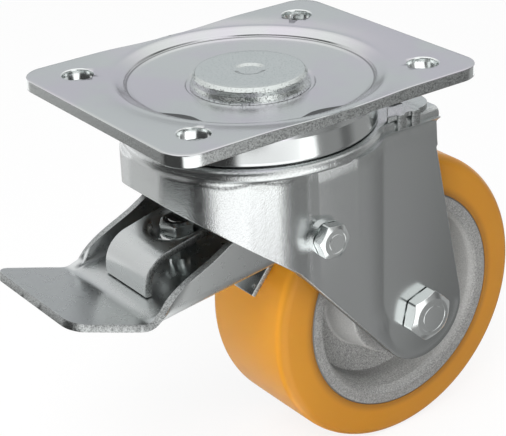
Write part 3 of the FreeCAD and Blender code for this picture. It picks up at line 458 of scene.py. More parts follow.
def new_piece(name, points, faces, materials, body, replaced, slot, slots=None, smooth=40.0, worn=None):
    """Mesh piece from arrays, merged and closed, that rides on a body and stands for nodes; slots
    gives each face's finish, worn a value at each point that its finish may read."""
    mesh = bpy.data.meshes.new(name)
    faces = [np.asarray(group) for group in (faces if isinstance(faces, list) else [faces])]
    mesh.from_pydata(np.asarray(points, dtype=float).reshape(-1, 3), [],
                     [face for group in faces for face in group.tolist()])
    for material in materials:
        mesh.materials.append(material)
    if slots is not None:
        mesh.polygons.foreach_set("material_index", np.asarray(slots, dtype=np.int32))
    if worn is not None:
        mesh.attributes.new("worn", "FLOAT", "POINT").data.foreach_set(
            "value", np.asarray(worn, dtype=np.float32).ravel())
    made = linked(name, mesh)
    tidy_mesh(mesh, smooth)
    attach(made, body)
    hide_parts(*replaced)
    return made


def weld(mesh, flat=0.0):
    """Merge doubled points and turn the faces outwards; slivers go, or with an angle in degrees
    the edges between faces that meet within it."""
    work = bmesh.new()
    work.from_mesh(mesh)
    bmesh.ops.remove_doubles(work, verts=work.verts, dist=MERGE)
    if flat:
        bmesh.ops.dissolve_limit(work, angle_limit=math.radians(flat), verts=work.verts, edges=work.edges)
    else:
        bmesh.ops.dissolve_degenerate(work, edges=work.edges, dist=MERGE / 2)
    bmesh.ops.recalc_face_normals(work, faces=work.faces)
    work.to_mesh(mesh)
    work.free()


def tidy_mesh(mesh, smooth):
    """Weld a mesh and smooth it up to an angle in degrees."""
    weld(mesh)
    mesh.polygons.foreach_set("use_smooth", np.ones(len(mesh.polygons), dtype=bool))
    mesh.set_sharp_from_angle(angle=math.radians(smooth))
    mesh.update()


def settle(piece):
    """Write a piece's modifiers into its mesh."""
    bpy.context.view_layer.update()
    ready = piece.evaluated_get(bpy.context.evaluated_depsgraph_get())
    mesh = bpy.data.meshes.new_from_object(ready)
    piece.modifiers.clear()
    piece.data = mesh


def round_edges(piece, width, method, smooth):
    """Round a piece's edges, by their weights or where faces meet sharply, and tidy its mesh."""
    bevel = piece.modifiers.new("edge", "BEVEL")
    bevel.width = width
    bevel.segments = 3
    bevel.limit_method = method
    bevel.angle_limit = math.radians(35)
    settle(piece)
    tidy_mesh(piece.data, smooth)


def rounded(corners, steps=6, closed=False):
    """Points along corners (x, y, radius): each corner gives way to an arc that touches both
    of its sides, sampled evenly; a radius of 0 keeps the corner."""
    corners = [tuple(corner) if len(corner) == 3 else (*corner, 0.0) for corner in corners]
    count = len(corners)
    found = []
    for index, (x, y, radius) in enumerate(corners):
        here = np.array([x, y], dtype=float)
        inside = closed or 0 < index < count - 1
        if radius <= 0 or not inside:
            found.append(here[None, :])
            continue
        before = np.array(corners[index - 1][:2]) - here
        after = np.array(corners[(index + 1) % count][:2]) - here
        before, after = before / np.linalg.norm(before), after / np.linalg.norm(after)
        half = 0.5 * math.acos(max(-1.0, min(1.0, float(before @ after))))
        bisector = (before + after) / np.linalg.norm(before + after)
        centre = here + bisector * radius / math.sin(half)
        start, end = here + before * radius / math.tan(half), here + after * radius / math.tan(half)
        first = math.atan2(*(start - centre)[::-1])
        turn = math.atan2(*(end - centre)[::-1]) - first
        turn = (turn + math.pi) % (2 * math.pi) - math.pi
        angle = first + turn * np.linspace(0.0, 1.0, steps + 1)
        found.append(centre + radius * np.stack([np.cos(angle), np.sin(angle)], axis=1))
    return np.concatenate(found)


def turned(profile, centre=(0.0, 0.0, 0.0), axis="Z", steps=180):
    """Surface of revolution: each profile point (radius, height) runs round the axis."""
    profile, angle = np.asarray(profile, dtype=float), round_turn(steps)
    radius, height = profile[:, :1], profile[:, 1:] + 0 * angle[None, :]
    across, up = radius * np.cos(angle), radius * np.sin(angle)
    points = [across, up, height] if axis == "Z" else [across, height, up]
    return np.stack(points, axis=-1).reshape(-1, 3) + np.asarray(centre, dtype=float)


def turned_piece(name, profile, materials, body, centre=(0, 0, 0), axis="Z", steps=180, closed=True,
                 **more):
    """Piece that is one turned profile; a closed profile joins its last point to its first."""
    points = turned(profile, centre, axis, steps)
    faces = grid_faces(len(profile), steps, wrap_rows=closed)
    return new_piece(name, points, faces, materials, body, **more)


def both_sides(side):
    """Closed profile from its half on the +Y side: the same corners back again on the -Y side,
    without a second one where the half ends at the middle."""
    back = side[::-1] if side[-1][1] else side[-2::-1]
    return side + [(spot[0], -spot[1], *spot[2:]) for spot in back]


def smooth_step(value, low, high):
    """Smooth rise from 0 at low to 1 at high, as arrays."""
    share = np.clip((value - low) / (high - low), 0.0, 1.0)
    return share * share * (3.0 - 2.0 * share)


def lengths(path):
    """Distance along a path at each of its points."""
    return np.concatenate([[0.0], np.cumsum(np.linalg.norm(np.diff(path, axis=0), axis=1))])


def even(path, count):
    """Path resampled to a count of points at even distances along it."""
    reach = lengths(path)
    wanted = np.linspace(0.0, reach[-1], count)
    return np.stack([np.interp(wanted, reach, path[:, column]) for column in range(path.shape[1])], axis=1)


def unit(vectors):
    """Rows of vectors with their lengths made one."""
    return vectors / np.linalg.norm(vectors, axis=1)[:, None]


def quarter(count):
    """Angles at even steps through a quarter turn."""
    return np.linspace(0.0, math.pi / 2, count)


def between(first, last, count):
    """Rows at even steps from one row of points to another, without the first row itself."""
    return [first + (last - first) * part for part in np.linspace(0.0, 1.0, count)[1:]]


def tangent_spot(point, centre, radius, side):
    """Point where a line from a point touches a circle, on the side (1 left, -1 right) of the
    line from the point to the circle's centre."""
    point, centre = np.asarray(point, dtype=float), np.asarray(centre, dtype=float)
    away = centre - point
    reach = np.linalg.norm(away)
    turn = math.atan2(away[1], away[0]) + math.asin(radius / reach) * side
    length = math.sqrt(reach ** 2 - radius ** 2)
    return point + length * np.array([math.cos(turn), math.sin(turn)])


def arc_between(centre, start, end, clockwise, steps):
    """Points on a circle from one of its points to another."""
    centre, start, end = (np.asarray(value, dtype=float) for value in (centre, start, end))
    first = math.atan2(*(start - centre)[::-1])
    last = math.atan2(*(end - centre)[::-1])
    turn = (last - first) % (2 * math.pi)
    if clockwise:
        turn -= 2 * math.pi
    angle = first + turn * np.linspace(0.0, 1.0, steps)
    radius = np.linalg.norm(start - centre)
    return centre + radius * np.stack([np.cos(angle), np.sin(angle)], axis=1)


# Pieces

def plate_height(radius, ridge):
    """Height of the pressed face at a distance from the swivel axis: flat seat, slight rise to
    the step, a soft ridge there, a steeper flank and a long ease out to the flat border."""
    curve = rounded([(0.0, -6.0), (24.4, -6.0, 0.4), (25.0, -5.25, 0.5), (38.0, -4.7, 12.0),
                     (45.4, -4.3, 1.5), (47.5, -3.7, 0.3), (47.9, -2.75, 0.25), (51.2, -1.45, 1.2),
                     (62.0, 0.0, 40.0), (72.0, 0.0)], 6)
    height = np.interp(radius / MM, curve[:, 0], curve[:, 1]) * MM
    return height + ridge * np.exp(-((radius / MM - 52.6) / 1.2) ** 2)


def plate_border(half, corner, ray, inset):
    """Distance along each ray to a rounded rectangle: straight sides first, and the corner
    circle where the ray leaves through a corner."""
    sides, radius = half - inset, corner - inset
    reach = np.min(sides / np.maximum(np.abs(ray), 1e-9), axis=1)
    centre = sides - radius
    along = np.abs(ray) @ centre
    inside = along ** 2 - (centre @ centre - radius ** 2)
    round_reach = along + np.sqrt(np.maximum(inside, 0.0))
    spot = np.abs(ray) * reach[:, None]
    return np.where(np.all(spot > centre, axis=1), round_reach, reach)


class CASTOR_OT_top_plate(bpy.types.Operator):
    """Build the pressed top plate with its four holes"""
    bl_idname = "castor.top_plate"
    bl_label = "Top plate"

    def execute(self, context):
        sizes, look = context.scene.castor_plate, finishes(context)
        low, high = node_box("top_plate")
        half, corner, edge, steps = (high - low)[:2] / 2, 10.0 * MM, sizes.edge_round, 360
        angle = round_turn(steps)
        ray = np.stack([np.cos(angle), np.sin(angle)], axis=1)
        rings = np.concatenate([[9.0, 15.0, 20.0, 22.0, 23.6], np.arange(24.0, 26.3, 0.25),
                                [28.0, 32.0, 36.0, 40.0, 43.0, 45.0], np.arange(45.6, 48.0, 0.12),
                                np.arange(48.2, 55.1, 0.4)]) * MM
        # rows of distance, drop, and the share of the pressed face's height that the row follows
        rows = [(ring, 0.0, 1.0) for ring in rings]
        border = plate_border(half, corner, ray, edge)
        for share in (0.15, 0.35, 0.6, 0.8, 0.93):
            rows.append((rings[-1] + (border - rings[-1]) * share, 0.0, 1.0))
        for turn in quarter(5):
            border = plate_border(half, corner, ray, edge * (1 - math.sin(turn)))
            rows.append((border, -edge * (1 - math.cos(turn)), 1.0))
        first_sheared, chamfer = len(rows) - 1, 0.4 * MM
        border = plate_border(half, corner, ray, 0.0)
        drops = (-PLATE_SHEET * 0.25, -PLATE_SHEET * 0.55, -PLATE_SHEET * 0.85, -PLATE_SHEET + chamfer)
        rows += [(border, drop, 1.0 - (index + 1) / 6.0) for index, drop in enumerate(drops)]
        last_sheared = len(rows)
        rows.append((plate_border(half, corner, ray, chamfer), -PLATE_SHEET, 0.0))
        press, bottom = 49.0 * MM, -2 * PLATE_SHEET
        rows += [(press + 3.0 * MM, -PLATE_SHEET, 0.0), (press + 0.6 * MM, bottom, 0.0), (press, bottom, 0.0),
                 (STEM, bottom, 0.0)]
        points = []
        for reach, drop, follow in rows:
            reach = np.broadcast_to(reach, steps)
            height = drop + plate_height(reach, sizes.ring_rise) * follow
            points.append(np.column_stack([ray * reach[:, None], height]))
        index = np.arange(len(rows))
        slots = np.repeat(((index >= first_sheared) & (index < last_sheared)).astype(int), steps)
        piece = new_piece("plate_pressing", np.concatenate(points),
                          grid_faces(len(rows), steps, wrap_rows=True),
                          [look["plate"], look["edge"], look["bolt"]], "mount", ("top_plate",),
                          "plate_zinc", slots, smooth=50.0)
        cut_holes(piece, sizes.hole_round, look["bolt"])
        return {"FINISHED"}


def cut_holes(piece, flare, finish):
    """Take four flared round holes out of the plate: each cutter is a turned profile that
    widens by the flare at both faces of the sheet."""
    hole, span_long, span_cross, past, steps = 6.0 * MM, 52.5 * MM, 38.75 * MM, 2 * MM, 64
    turn = quarter(5)
    upper = np.column_stack([hole + flare * (1 - np.cos(turn)), -flare + flare * np.sin(turn) + 0.02 * MM])
    lower = upper[::-1] * (1, -1) - (0, PLATE_SHEET)
    wide = hole + flare
    profile = np.concatenate([[(0.0, past), (0.0, -PLATE_SHEET - past), (wide, -PLATE_SHEET - past)],
                              lower, upper, [(wide, past)]])
    for side in (-1, 1):
        for end in (-1, 1):
            points = turned(profile, (end * span_long, side * span_cross, 0.0), "Z", steps)
            mesh = bpy.data.meshes.new("hole_cutter")
            mesh.from_pydata(points, [], grid_faces(len(profile), steps, wrap_rows=True).tolist())
            mesh.materials.append(finish)
            tidy_mesh(mesh, 30.0)
            cutter = linked("hole_cutter", mesh)
            cut = piece.modifiers.new("hole", "BOOLEAN")
            cut.operation = "DIFFERENCE"
            cut.solver = "EXACT"
            cut.material_mode = "TRANSFER"
            cut.object = cutter
            settle(piece)
            bpy.data.objects.remove(cutter)


class CASTOR_OT_kingpin(bpy.types.Operator):
    """Build the kingpin's dimpled head and the ring round the ball races"""
    bl_idname = "castor.kingpin"
    bl_label = "Kingpin and dust ring"

    def execute(self, context):
        look = finishes(context)
        low, high = node_box("kingpin")
        head, seat, brim, top = (high[0] - low[0]) / 2, -5.3 * MM, -5.9 * MM, high[2]
        profile = rounded([
            (0.0, low[2]), (STEM - 1 * MM, low[2], 0.3 * MM), (STEM, low[2] + 1 * MM, 0.3 * MM),
            (STEM, seat), (STEM, brim), (head + 1.5 * MM, brim), (head + 1.2 * MM, -4.7 * MM, 0.6 * MM),
            (head + 0.5 * MM, -3.3 * MM, 1.2 * MM), (head + 0.3 * MM, -1.5 * MM, 1.0 * MM),
            (head - 0.9 * MM, top - 0.12 * MM, 1.1 * MM), (head - 4.0 * MM, top, 3 * MM),
            (6.4 * MM, top - 0.05 * MM, 1.5 * MM), (4.4 * MM, top - 0.6 * MM, 1.5 * MM),
            (0.0, top - 0.7 * MM)], 5)
        turned_piece("kingpin_head", profile, [look["pin"]], "mount", steps=144, closed=False,
                     smooth=60.0, replaced=("kingpin",), slot="bolt_zinc")
        low, high = node_box("dust_ring")
        outer, top = (high[0] - low[0]) / 2, high[2]
        inner = outer - 2.0 * MM
        profile = rounded([
            (inner, low[2], 0.3 * MM), (outer - 0.1 * MM, low[2], 0.6 * MM),
            (outer, low[2] + 1.4 * MM, 1.2 * MM), (outer - 1.1 * MM, top - 0.7 * MM, 0.8 * MM),
            (outer - 1.8 * MM, top, 0.5 * MM), (inner, top, 0.3 * MM)], 4, closed=True)
        turned_piece("race_cover", profile, [look["fork"]], "mount", steps=200,
                     replaced=("dust_ring",), slot="plate_zinc")
        return {"FINISHED"}


class CASTOR_OT_wheel(bpy.types.Operator):
    """Build the amber tread and the cast wheel centre"""
    bl_idname = "castor.wheel"
    bl_label = "Wheel"

    def execute(self, context):
        sizes, look = context.scene.castor_wheel, finishes(context)
        low, high = node_box("tread")
        outer, half, rim = (high[2] - low[2]) / 2, (high[1] - low[1]) / 2, 47.0 * MM
        side = [(rim, half - 0.35 * MM), (rim + 0.9 * MM, half - 0.1 * MM, 0.8 * MM),
                (outer - 9 * MM, half - 0.5 * MM, 8 * MM),
                (outer - 0.05 * MM, half - 1.35 * MM, sizes.tread_round), (outer, 0.0, 0.0)]
        turned_piece("tyre", rounded(both_sides(side), 9, closed=True), [look["tread"]], "wheel", AXLE,
                     "Y", 200, smooth=60.0, replaced=("tread",), slot="tread_polyurethane")

        web, hub, hub_half, bore, seat = 6.6 * MM, 24.0 * MM, 23.0 * MM, 17.5 * MM, 12.0 * MM
        side = [(rim, half - 0.6 * MM), (rim - 0.7 * MM, half, 0.5 * MM),
                (rim - 5.2 * MM, half - 0.1 * MM, 1.2 * MM), (rim - 7.0 * MM, half - 3.6 * MM, 2.4 * MM),
                (rim - 9.2 * MM, web + 3.2 * MM, 0.8 * MM), (hub + 8.0 * MM, web + 1.2 * MM, 4.0 * MM),
                (hub + 2.4 * MM, web, 1.6 * MM), (hub, hub_half - 0.4 * MM, 1.2 * MM),
                (hub - 2.2 * MM, hub_half, 0.6 * MM), (bore, hub_half), (bore, seat), (bore - 2 * MM, seat)]
        turned_piece("cast_centre", rounded(both_sides(side), 6, closed=True), [look["cast"]], "wheel",
                     AXLE, "Y", 160, replaced=("wheel_centre",), slot="cast_iron")
        return {"FINISHED"}


def bolt_head(angle, flats, height, cap):
    """Hexagon head as rows of radius and height: a round foot under it, flanks at the hexagon's
    distance flats / 2 / cos(angle from the nearest flank), a cone of 30 degrees that meets them
    in curves, and a flat face with a shallow turned ring."""
    local = (angle + math.pi / 6) % (math.pi / 3) - math.pi / 6
    flank = np.minimum(flats / 2 / np.cos(local), flats / 2 * 1.135)
    foot, cone, soft, step = flats / 2 * 0.93, flats / 2 * cap, 0.12 * MM, 0.45 * MM
    fall = (flank - cone) * math.tan(math.radians(30)) + 0.1 * MM
    return [(foot, 0.0), (foot, step), (flank - soft, step), (flank, step + soft),
            (flank, height - fall - soft), (flank - 0.6 * soft, height - fall),
            (cone, height - 0.1 * MM), (cone - 0.2 * MM, height), (cone * 0.80, height),
            (cone * 0.78, height - soft), (cone * 0.60, height - soft), (cone * 0.58, height),
            (cone * 0.3, height), (0.0, height)]


def fastener(name, flats, height, cap, seat, direction, materials, body, bore=0.0, shank=(), tilt=0.0,
             **more):
    """Bolt or nut: a hexagon from the seat along a direction, with a turned shank behind it or,
    for a nut, a bore through it."""
    angle = round_turn(144)
    rows = bolt_head(angle, flats, height, cap)
    if bore:
        rows = [*rows[:8], (bore * 1.12, height), (bore, height - 0.5 * MM), (bore, 0.0)]
    else:
        rows = [*shank, *rows]
    radius, along = (np.stack([np.broadcast_to(row[column], angle.shape) for row in rows])
                     for column in (0, 1))
    across, up = radius * np.cos(angle + tilt), radius * np.sin(angle + tilt)
    points = [across, up, along] if direction == "Z" else [across, along * direction, up]
    points = np.stack(points, axis=-1).reshape(-1, 3) + np.asarray(seat, dtype=float)
    faces = grid_faces(len(rows), len(angle), wrap_rows=bool(bore))
    return new_piece(name, points, faces, materials, body, smooth=24.0, **more)


def shank_rows(radius, length, tip=0.8 * MM):
    """Turned shank behind a head, from its tip up to the seat."""
    return [(0.0, -length), (radius - tip, -length), (radius, -length + tip), (radius, 0.0)]


class CASTOR_OT_fasteners(bpy.types.Operator):
    """Build the bolts and nuts of the axle, the pivot and the clamp"""
    bl_idname = "castor.fasteners"
    bl_label = "Bolts and nuts"

    def execute(self, context):
        bolt = [finishes(context)["bolt"]]
        for name, place, flats, head, radius, tilt in (
                ("axle", AXLE, 19.0 * MM, 6.6 * MM, 6.0 * MM, -13.2),
                ("pivot", PIVOT, 13.0 * MM, 5.3 * MM, 4.0 * MM, 22.7)):
            low, high = node_box(f"{name}_bolt")
            seat = (place[0], low[1] + head, place[2])
            fastener(f"{name}_screw", flats, head, 0.86, seat, -1, bolt, "fork", tilt=math.radians(tilt),
                     shank=shank_rows(radius, high[1] - seat[1]), replaced=(f"{name}_bolt",),
                     slot="bolt_zinc")
            low, high = node_box(f"{name}_nut")
            fastener(f"{name}_locknut", flats, high[1] - low[1], 0.9, (place[0], low[1], place[2]), 1,
                     bolt, "fork", bore=radius, replaced=(f"{name}_nut",), slot="bolt_zinc")
        low, high = node_box("clamp_bolt")
        head, middle = 5.3 * MM, (low + high) / 2
        seat = (middle[0], middle[1], high[2] - head)
        fastener("clamp_screw", 13.0 * MM, head, 0.88, seat, "Z", bolt, "brake", tilt=math.radians(20),
                 shank=shank_rows(4.0 * MM, seat[2] - low[2]), replaced=("clamp_bolt",), slot="bolt_zinc")
        return {"FINISHED"}


FRONT_COUNT, LEG_COUNT = 150, 180  # points along the fork's front and along its leg
LEG_SIDE = -36 * MM
CROWN_ROWS = 20  # rows of the crown and its bend, above the shoulder


def side_of(line):
    """Steps along a plan line, and the unit directions to the left of them."""
    along = np.gradient(line, axis=0)
    return along, unit(np.column_stack([-along[:, 1], along[:, 0]]))


def fork_outline(crown, shelf_end, axle):
    """Plan of the wall's outer face and its lower edge: from the front's middle round the bends
    to the leg, down its edge to the lobe round the axle, and up the rear edge to the shelf."""
    knee, lobe, corner = (-6.05 * MM, -71.51 * MM), 21.3 * MM, (shelf_end, crown - 15.5 * MM)
    skirt = (-50 * MM, crown - 18.2 * MM)
    front = even(rounded([(-50 * MM, 0.0), (-50 * MM, -32.3 * MM, 27 * MM), (-11.05 * MM, -38 * MM, 28 * MM),
                          (-2.35 * MM, LEG_SIDE, 14 * MM), (3 * MM, LEG_SIDE)], 40), FRONT_COUNT)
    down, up = tangent_spot(knee, axle, lobe, -1), tangent_spot(corner, axle, lobe, 1)
    drop = skirt[1] + (knee[1] - skirt[1]) * (front[:, 0] - skirt[0]) / (knee[0] - skirt[0])
    past = front[:, 0] > knee[0]
    drop[past] = knee[1] + (down[1] - knee[1]) * (front[past, 0] - knee[0]) / (down[0] - knee[0])
    start = knee + (down - knee) * (3 * MM - knee[0]) / (down[0] - knee[0])
    edge = even(np.concatenate([[start], arc_between(axle, down, up, False, 60), [corner]]), LEG_COUNT)
    share = np.linspace(0.0, 1.0, LEG_COUNT)
    top = np.interp(share, [0.0, 0.42, 0.62, 0.80, 0.985, 1.0],
                    np.array([3.0, 26.0, 46.0, 56.0, 59.0, shelf_end / MM]) * MM)
    side = np.full(LEG_COUNT, LEG_SIDE)
    wall = np.concatenate([front, np.column_stack([top, side])[1:]])
    lower = np.concatenate([np.column_stack([front, drop]),
                            np.column_stack([edge[:, 0], side, edge[:, 1]])[1:]])
    return wall, lower


def pad_rise(points, axle):
    """How far the leg moves out over its pad: left of the pad nothing, right of its border the
    full rise, along the border and round the axle a smooth step."""
    across, height = points[:, 0], points[:, 2]
    ring = 17.9 * MM - np.hypot(across - axle[0], height - axle[1])
    left = 34.6 * MM + 3.6 * MM * smooth_step(-height, 97.9 * MM, 108.5 * MM)
    inside = np.where(across > axle[0], np.maximum(ring, height - axle[1]),
                      np.where(height > axle[1], across - left, ring))
    ramp = np.clip((inside + 31.0 * MM) / (18.0 * MM), 0.0, 1.0)
    dip = np.clip((inside + 13.0 * MM) / (13.0 * MM), 0.0, 1.0) ** 2
    return (MM * (1.86 * ramp - 0.66 * dip) * (across > 2 * MM))[:, None]


def fork_wear_and_shade(side, top, wall, along, outer_rows):
    """How much the forming has roughened the sheet: most over the shoulder and round the bends
    in plan, nothing on the inner face; above 1 a painted shade, a wavy dark line along the
    shoulder's foot that stands in for the shade in the hollow under the shoulder."""
    heading = np.unwrap(np.arctan2(along[:, 1], along[:, 0]))
    sharp = np.abs(np.gradient(heading)) / np.linalg.norm(along, axis=1)
    curved = smooth_step(np.convolve(sharp, np.full(9, 1 / 9), "same"), 8.0, 26.0)
    curved[FRONT_COUNT + 40:] = 0.0
    bends = np.flatnonzero((curved > 0.9) & (wall[:, 0] < 0))
    curved[bends[0]:bends[-1]] = np.maximum(curved[bends[0]:bends[-1]], 0.75)
    curved = np.convolve(curved, np.full(7, 1 / 7), "same")
    across, under = side[:, :, 0], top[None, :, 2] - side[:, :, 2]
    worn = np.maximum(1.0 - smooth_step(np.clip(under, 0.0, 1.0), 1.0 * MM, 8.0 * MM), curved[None, :])
    worn[:12] = 0.3
    # painted shade: above 1, a wavy dark line at the foot of the shoulder on the front, for the shade in the
    # hollow under it
    foot = 0.5 * MM - 0.8 * MM * np.cos(2 * math.pi * (across + 25 * MM) / (24 * MM))
    front = smooth_step(across, -48 * MM, -41 * MM) * (1 - smooth_step(across, -16 * MM, -4 * MM))
    worn = worn + 0.7 * front * np.exp(-((under - foot) / (0.8 * MM)) ** 2)
    worn[outer_rows:] = 0.0
    return worn


def fork_faces(whole, outer_rows, bore):
    """Groups of faces over the fork's rows, and the finish of each face: the sheet, the wall of
    the neck's bore, and the sheet's rear edges, which join outer rows to inner ones."""
    count, columns = whole.shape[:2]
    faces = grid_faces(count, columns, wrap_columns=False)
    row_of = np.repeat(np.arange(count - 1), columns - 1)
    slots = ((row_of >= outer_rows - 4) & (row_of < outer_rows + 4)).astype(int)
    reach = np.hypot(*whole[0, :, :2].T)
    in_bore = np.flatnonzero((reach[:-1] < bore * 1.001) & (reach[1:] < bore * 1.02))
    last = (count - 1) * columns
    bore_faces = np.column_stack([last + in_bore, last + in_bore + 1, in_bore + 1, in_bore])
    pairs = np.arange(outer_rows)
    partner = np.round(np.interp(pairs, [0, CROWN_ROWS - 1, 40, outer_rows - 1],
                                 [count - 1, count - 8, count - 12, outer_rows])).astype(int)
    flat = partner[1:] == partner[:-1]
    caps = []
    for column in (0, columns - 1):
        quads = np.column_stack([pairs[:-1], pairs[1:], partner[1:], partner[:-1]]) * columns + column
        caps += [quads[~flat], quads[flat][:, :3]]
    slots = np.concatenate([slots, np.zeros(len(bore_faces), dtype=int),
                            np.ones(sum(len(cap) for cap in caps), dtype=int)])
    return [faces, bore_faces, *caps], slots


class CASTOR_OT_fork(bpy.types.Operator):
    """Build the pressed fork: crown, shoulder, rounded skirt and the two legs"""
    bl_idname = "castor.fork"
    bl_label = "Fork"

    def execute(self, context):
        look = finishes(context)
        low, high = node_box("fork")
        crown, sheet, bend, soft = high[2], 4.0 * MM, 2.6 * MM, 0.55 * MM
        rim_reach, shelf_half, shelf_end, bore = 50.5 * MM, 38.4 * MM, 11.1 * MM - low[0], 14 * MM
        axle = (AXLE[0], AXLE[2])
        wall, lower = fork_outline(crown, shelf_end, axle)
        along, inward = side_of(wall)
        inward[FRONT_COUNT:] = (0.0, 1.0)
        # rim of the crown: a circle in front, behind the axis the wider of circle and shelf
        turn = np.arctan2(wall[:, 1], wall[:, 0])
        in_front = wall[:, :1] < 0
        swell = np.sqrt(np.maximum(rim_reach ** 2 - wall[:, 0] ** 2, 0.0))
        wide = 0.5 * (swell + shelf_half + np.sqrt((swell - shelf_half) ** 2 + (1.8 * MM) ** 2))
        round_rim = rim_reach * np.column_stack([np.cos(turn), np.sin(turn)])
        rim = np.where(in_front, round_rim, np.column_stack([wall[:, 0], -wide]))
        rim_in = side_of(rim)[1]
        rim_in[-6:] = (0.0, 1.0)
        chord = np.sqrt(np.maximum(bore ** 2 - wall[:, 0] ** 2, 0.0))
        hub = np.where(in_front, bore / rim_reach * round_rim, np.column_stack([wall[:, 0], -chord]))

        def level(plan_points, height):
            """Points of the plan at a height."""
            return np.column_stack([plan_points, np.broadcast_to(height, len(plan_points))])

        # outer face, from the bore over the crown's bend and the shoulder down the wall
        rows = []
        start_rim = rim + rim_in * bend
        for part in np.linspace(0.0, 1.0, 12) ** 0.7:
            rows.append(level(hub + (start_rim - hub) * part, crown))
        for angle in quarter(9)[1:]:
            rows.append(level(rim + rim_in * bend * (1 - math.sin(angle)),
                              crown - bend * (1 - math.cos(angle))))
        lip = crown - bend - 0.9 * MM
        drop = 2.4 * MM + 0.34 * np.linalg.norm(rim - wall, axis=1)
        for part in np.linspace(0.0, 1.0, 21):
            rows.append(level(rim + (wall - rim) * (part * part * (3 - 2 * part)), lip - drop * part))
        top = rows[-1]
        brink = np.cross(level(-inward, 0.0), unit(np.gradient(lower, axis=0)))
        brink *= np.where(np.sum(brink * (lower - top), axis=1) < 0, -1, 1)[:, None]
        rows += between(top, lower - brink * soft, 54)
        # the pad lifts every row below the shoulder's first two
        depth = level(inward, 0.0)
        rows[CROWN_ROWS + 2:] = [row - depth * pad_rise(row, axle) for row in rows[CROWN_ROWS + 2:]]
        rise = pad_rise(lower - brink * soft, axle)
        brow = lower - brink * soft - depth * rise
        for angle in quarter(5)[1:]:
            rows.append(brow + brink * soft * math.sin(angle) + depth * soft * (1 - math.cos(angle)))
        # inner face, back from the lower edge up the wall and under the crown to the bore
        outer_rows = len(rows)
        for angle in quarter(5)[::-1]:
            rows.append(brow + depth * (sheet + rise) + brink * soft * math.sin(angle)
                        - depth * soft * (1 - math.cos(angle)))
        ceiling, fillet = crown - sheet, 3.0 * MM
        inner_top = level(wall + inward * sheet, ceiling - fillet)
        rows += between(rows[-1], inner_top, 12)
        for angle in quarter(6)[1:]:
            rows.append(inner_top + depth * fillet * (1 - math.cos(angle)) + (0, 0, fillet * math.sin(angle)))
        rows += between(rows[-1], level(hub, ceiling), 8)

        side = np.stack(rows)
        worn = fork_wear_and_shade(side, top, wall, along, outer_rows)
        whole = np.concatenate([side[:, :0:-1] * (1, -1, 1), side], axis=1)
        groups, slots = fork_faces(whole, outer_rows, bore)
        new_piece("fork_pressing", whole, groups, [look["fork"], look["edge"]], "fork", ("fork",),
                  "fork_zinc", slots, smooth=42.0, worn=np.concatenate([worn[:, :0:-1], worn], axis=1))
        return {"FINISHED"}


def slab(name, upper, away, sheet, materials, body, replaced, slot):
    """Sheet metal from its upper face: the lower face lies the sheet's thickness along the
    directions given, four strips close the rim in the second finish, and a bevel rounds the
    edges where the two finishes meet."""
    total = upper.shape[0] * upper.shape[1]
    index = np.arange(total).reshape(upper.shape[:2])
    faces = grid_faces(*upper.shape[:2], wrap_columns=False)
    groups = [faces, faces + total]
    for rim in (index[0], index[-1], index[:, 0], index[:, -1]):
        groups.append(np.column_stack([rim[:-1], rim[1:], rim[1:] + total, rim[:-1] + total]))
    slots = np.zeros(sum(len(group) for group in groups), dtype=int)
    slots[2 * len(faces):] = 1
    points = np.concatenate([upper.reshape(-1, 3), (upper + away * sheet).reshape(-1, 3)])
    made = new_piece(name, points, groups, materials, body, replaced, slot, slots, smooth=180.0)
    mesh = made.data
    sides, finish = np.empty(len(mesh.polygons), dtype=int), np.empty(len(mesh.polygons), dtype=int)
    loop_edges = np.empty(len(mesh.loops), dtype=int)
    mesh.polygons.foreach_get("loop_total", sides)
    mesh.polygons.foreach_get("material_index", finish)
    mesh.loops.foreach_get("edge_index", loop_edges)
    sheared = np.bincount(loop_edges, np.repeat(finish, sides), len(mesh.edges))
    mesh.attributes.new("bevel_weight_edge", "FLOAT", "EDGE").data.foreach_set(
        "value", (np.abs(sheared - 1.0) < 0.5).astype(np.float32))
    round_edges(made, 0.5 * MM, "WEIGHT", 42.0)


def channel_floor(place):
    """Height of the pedal channel's floor at a place along X."""
    return -73.11 * MM + 0.1209 * (place + 69 * MM)


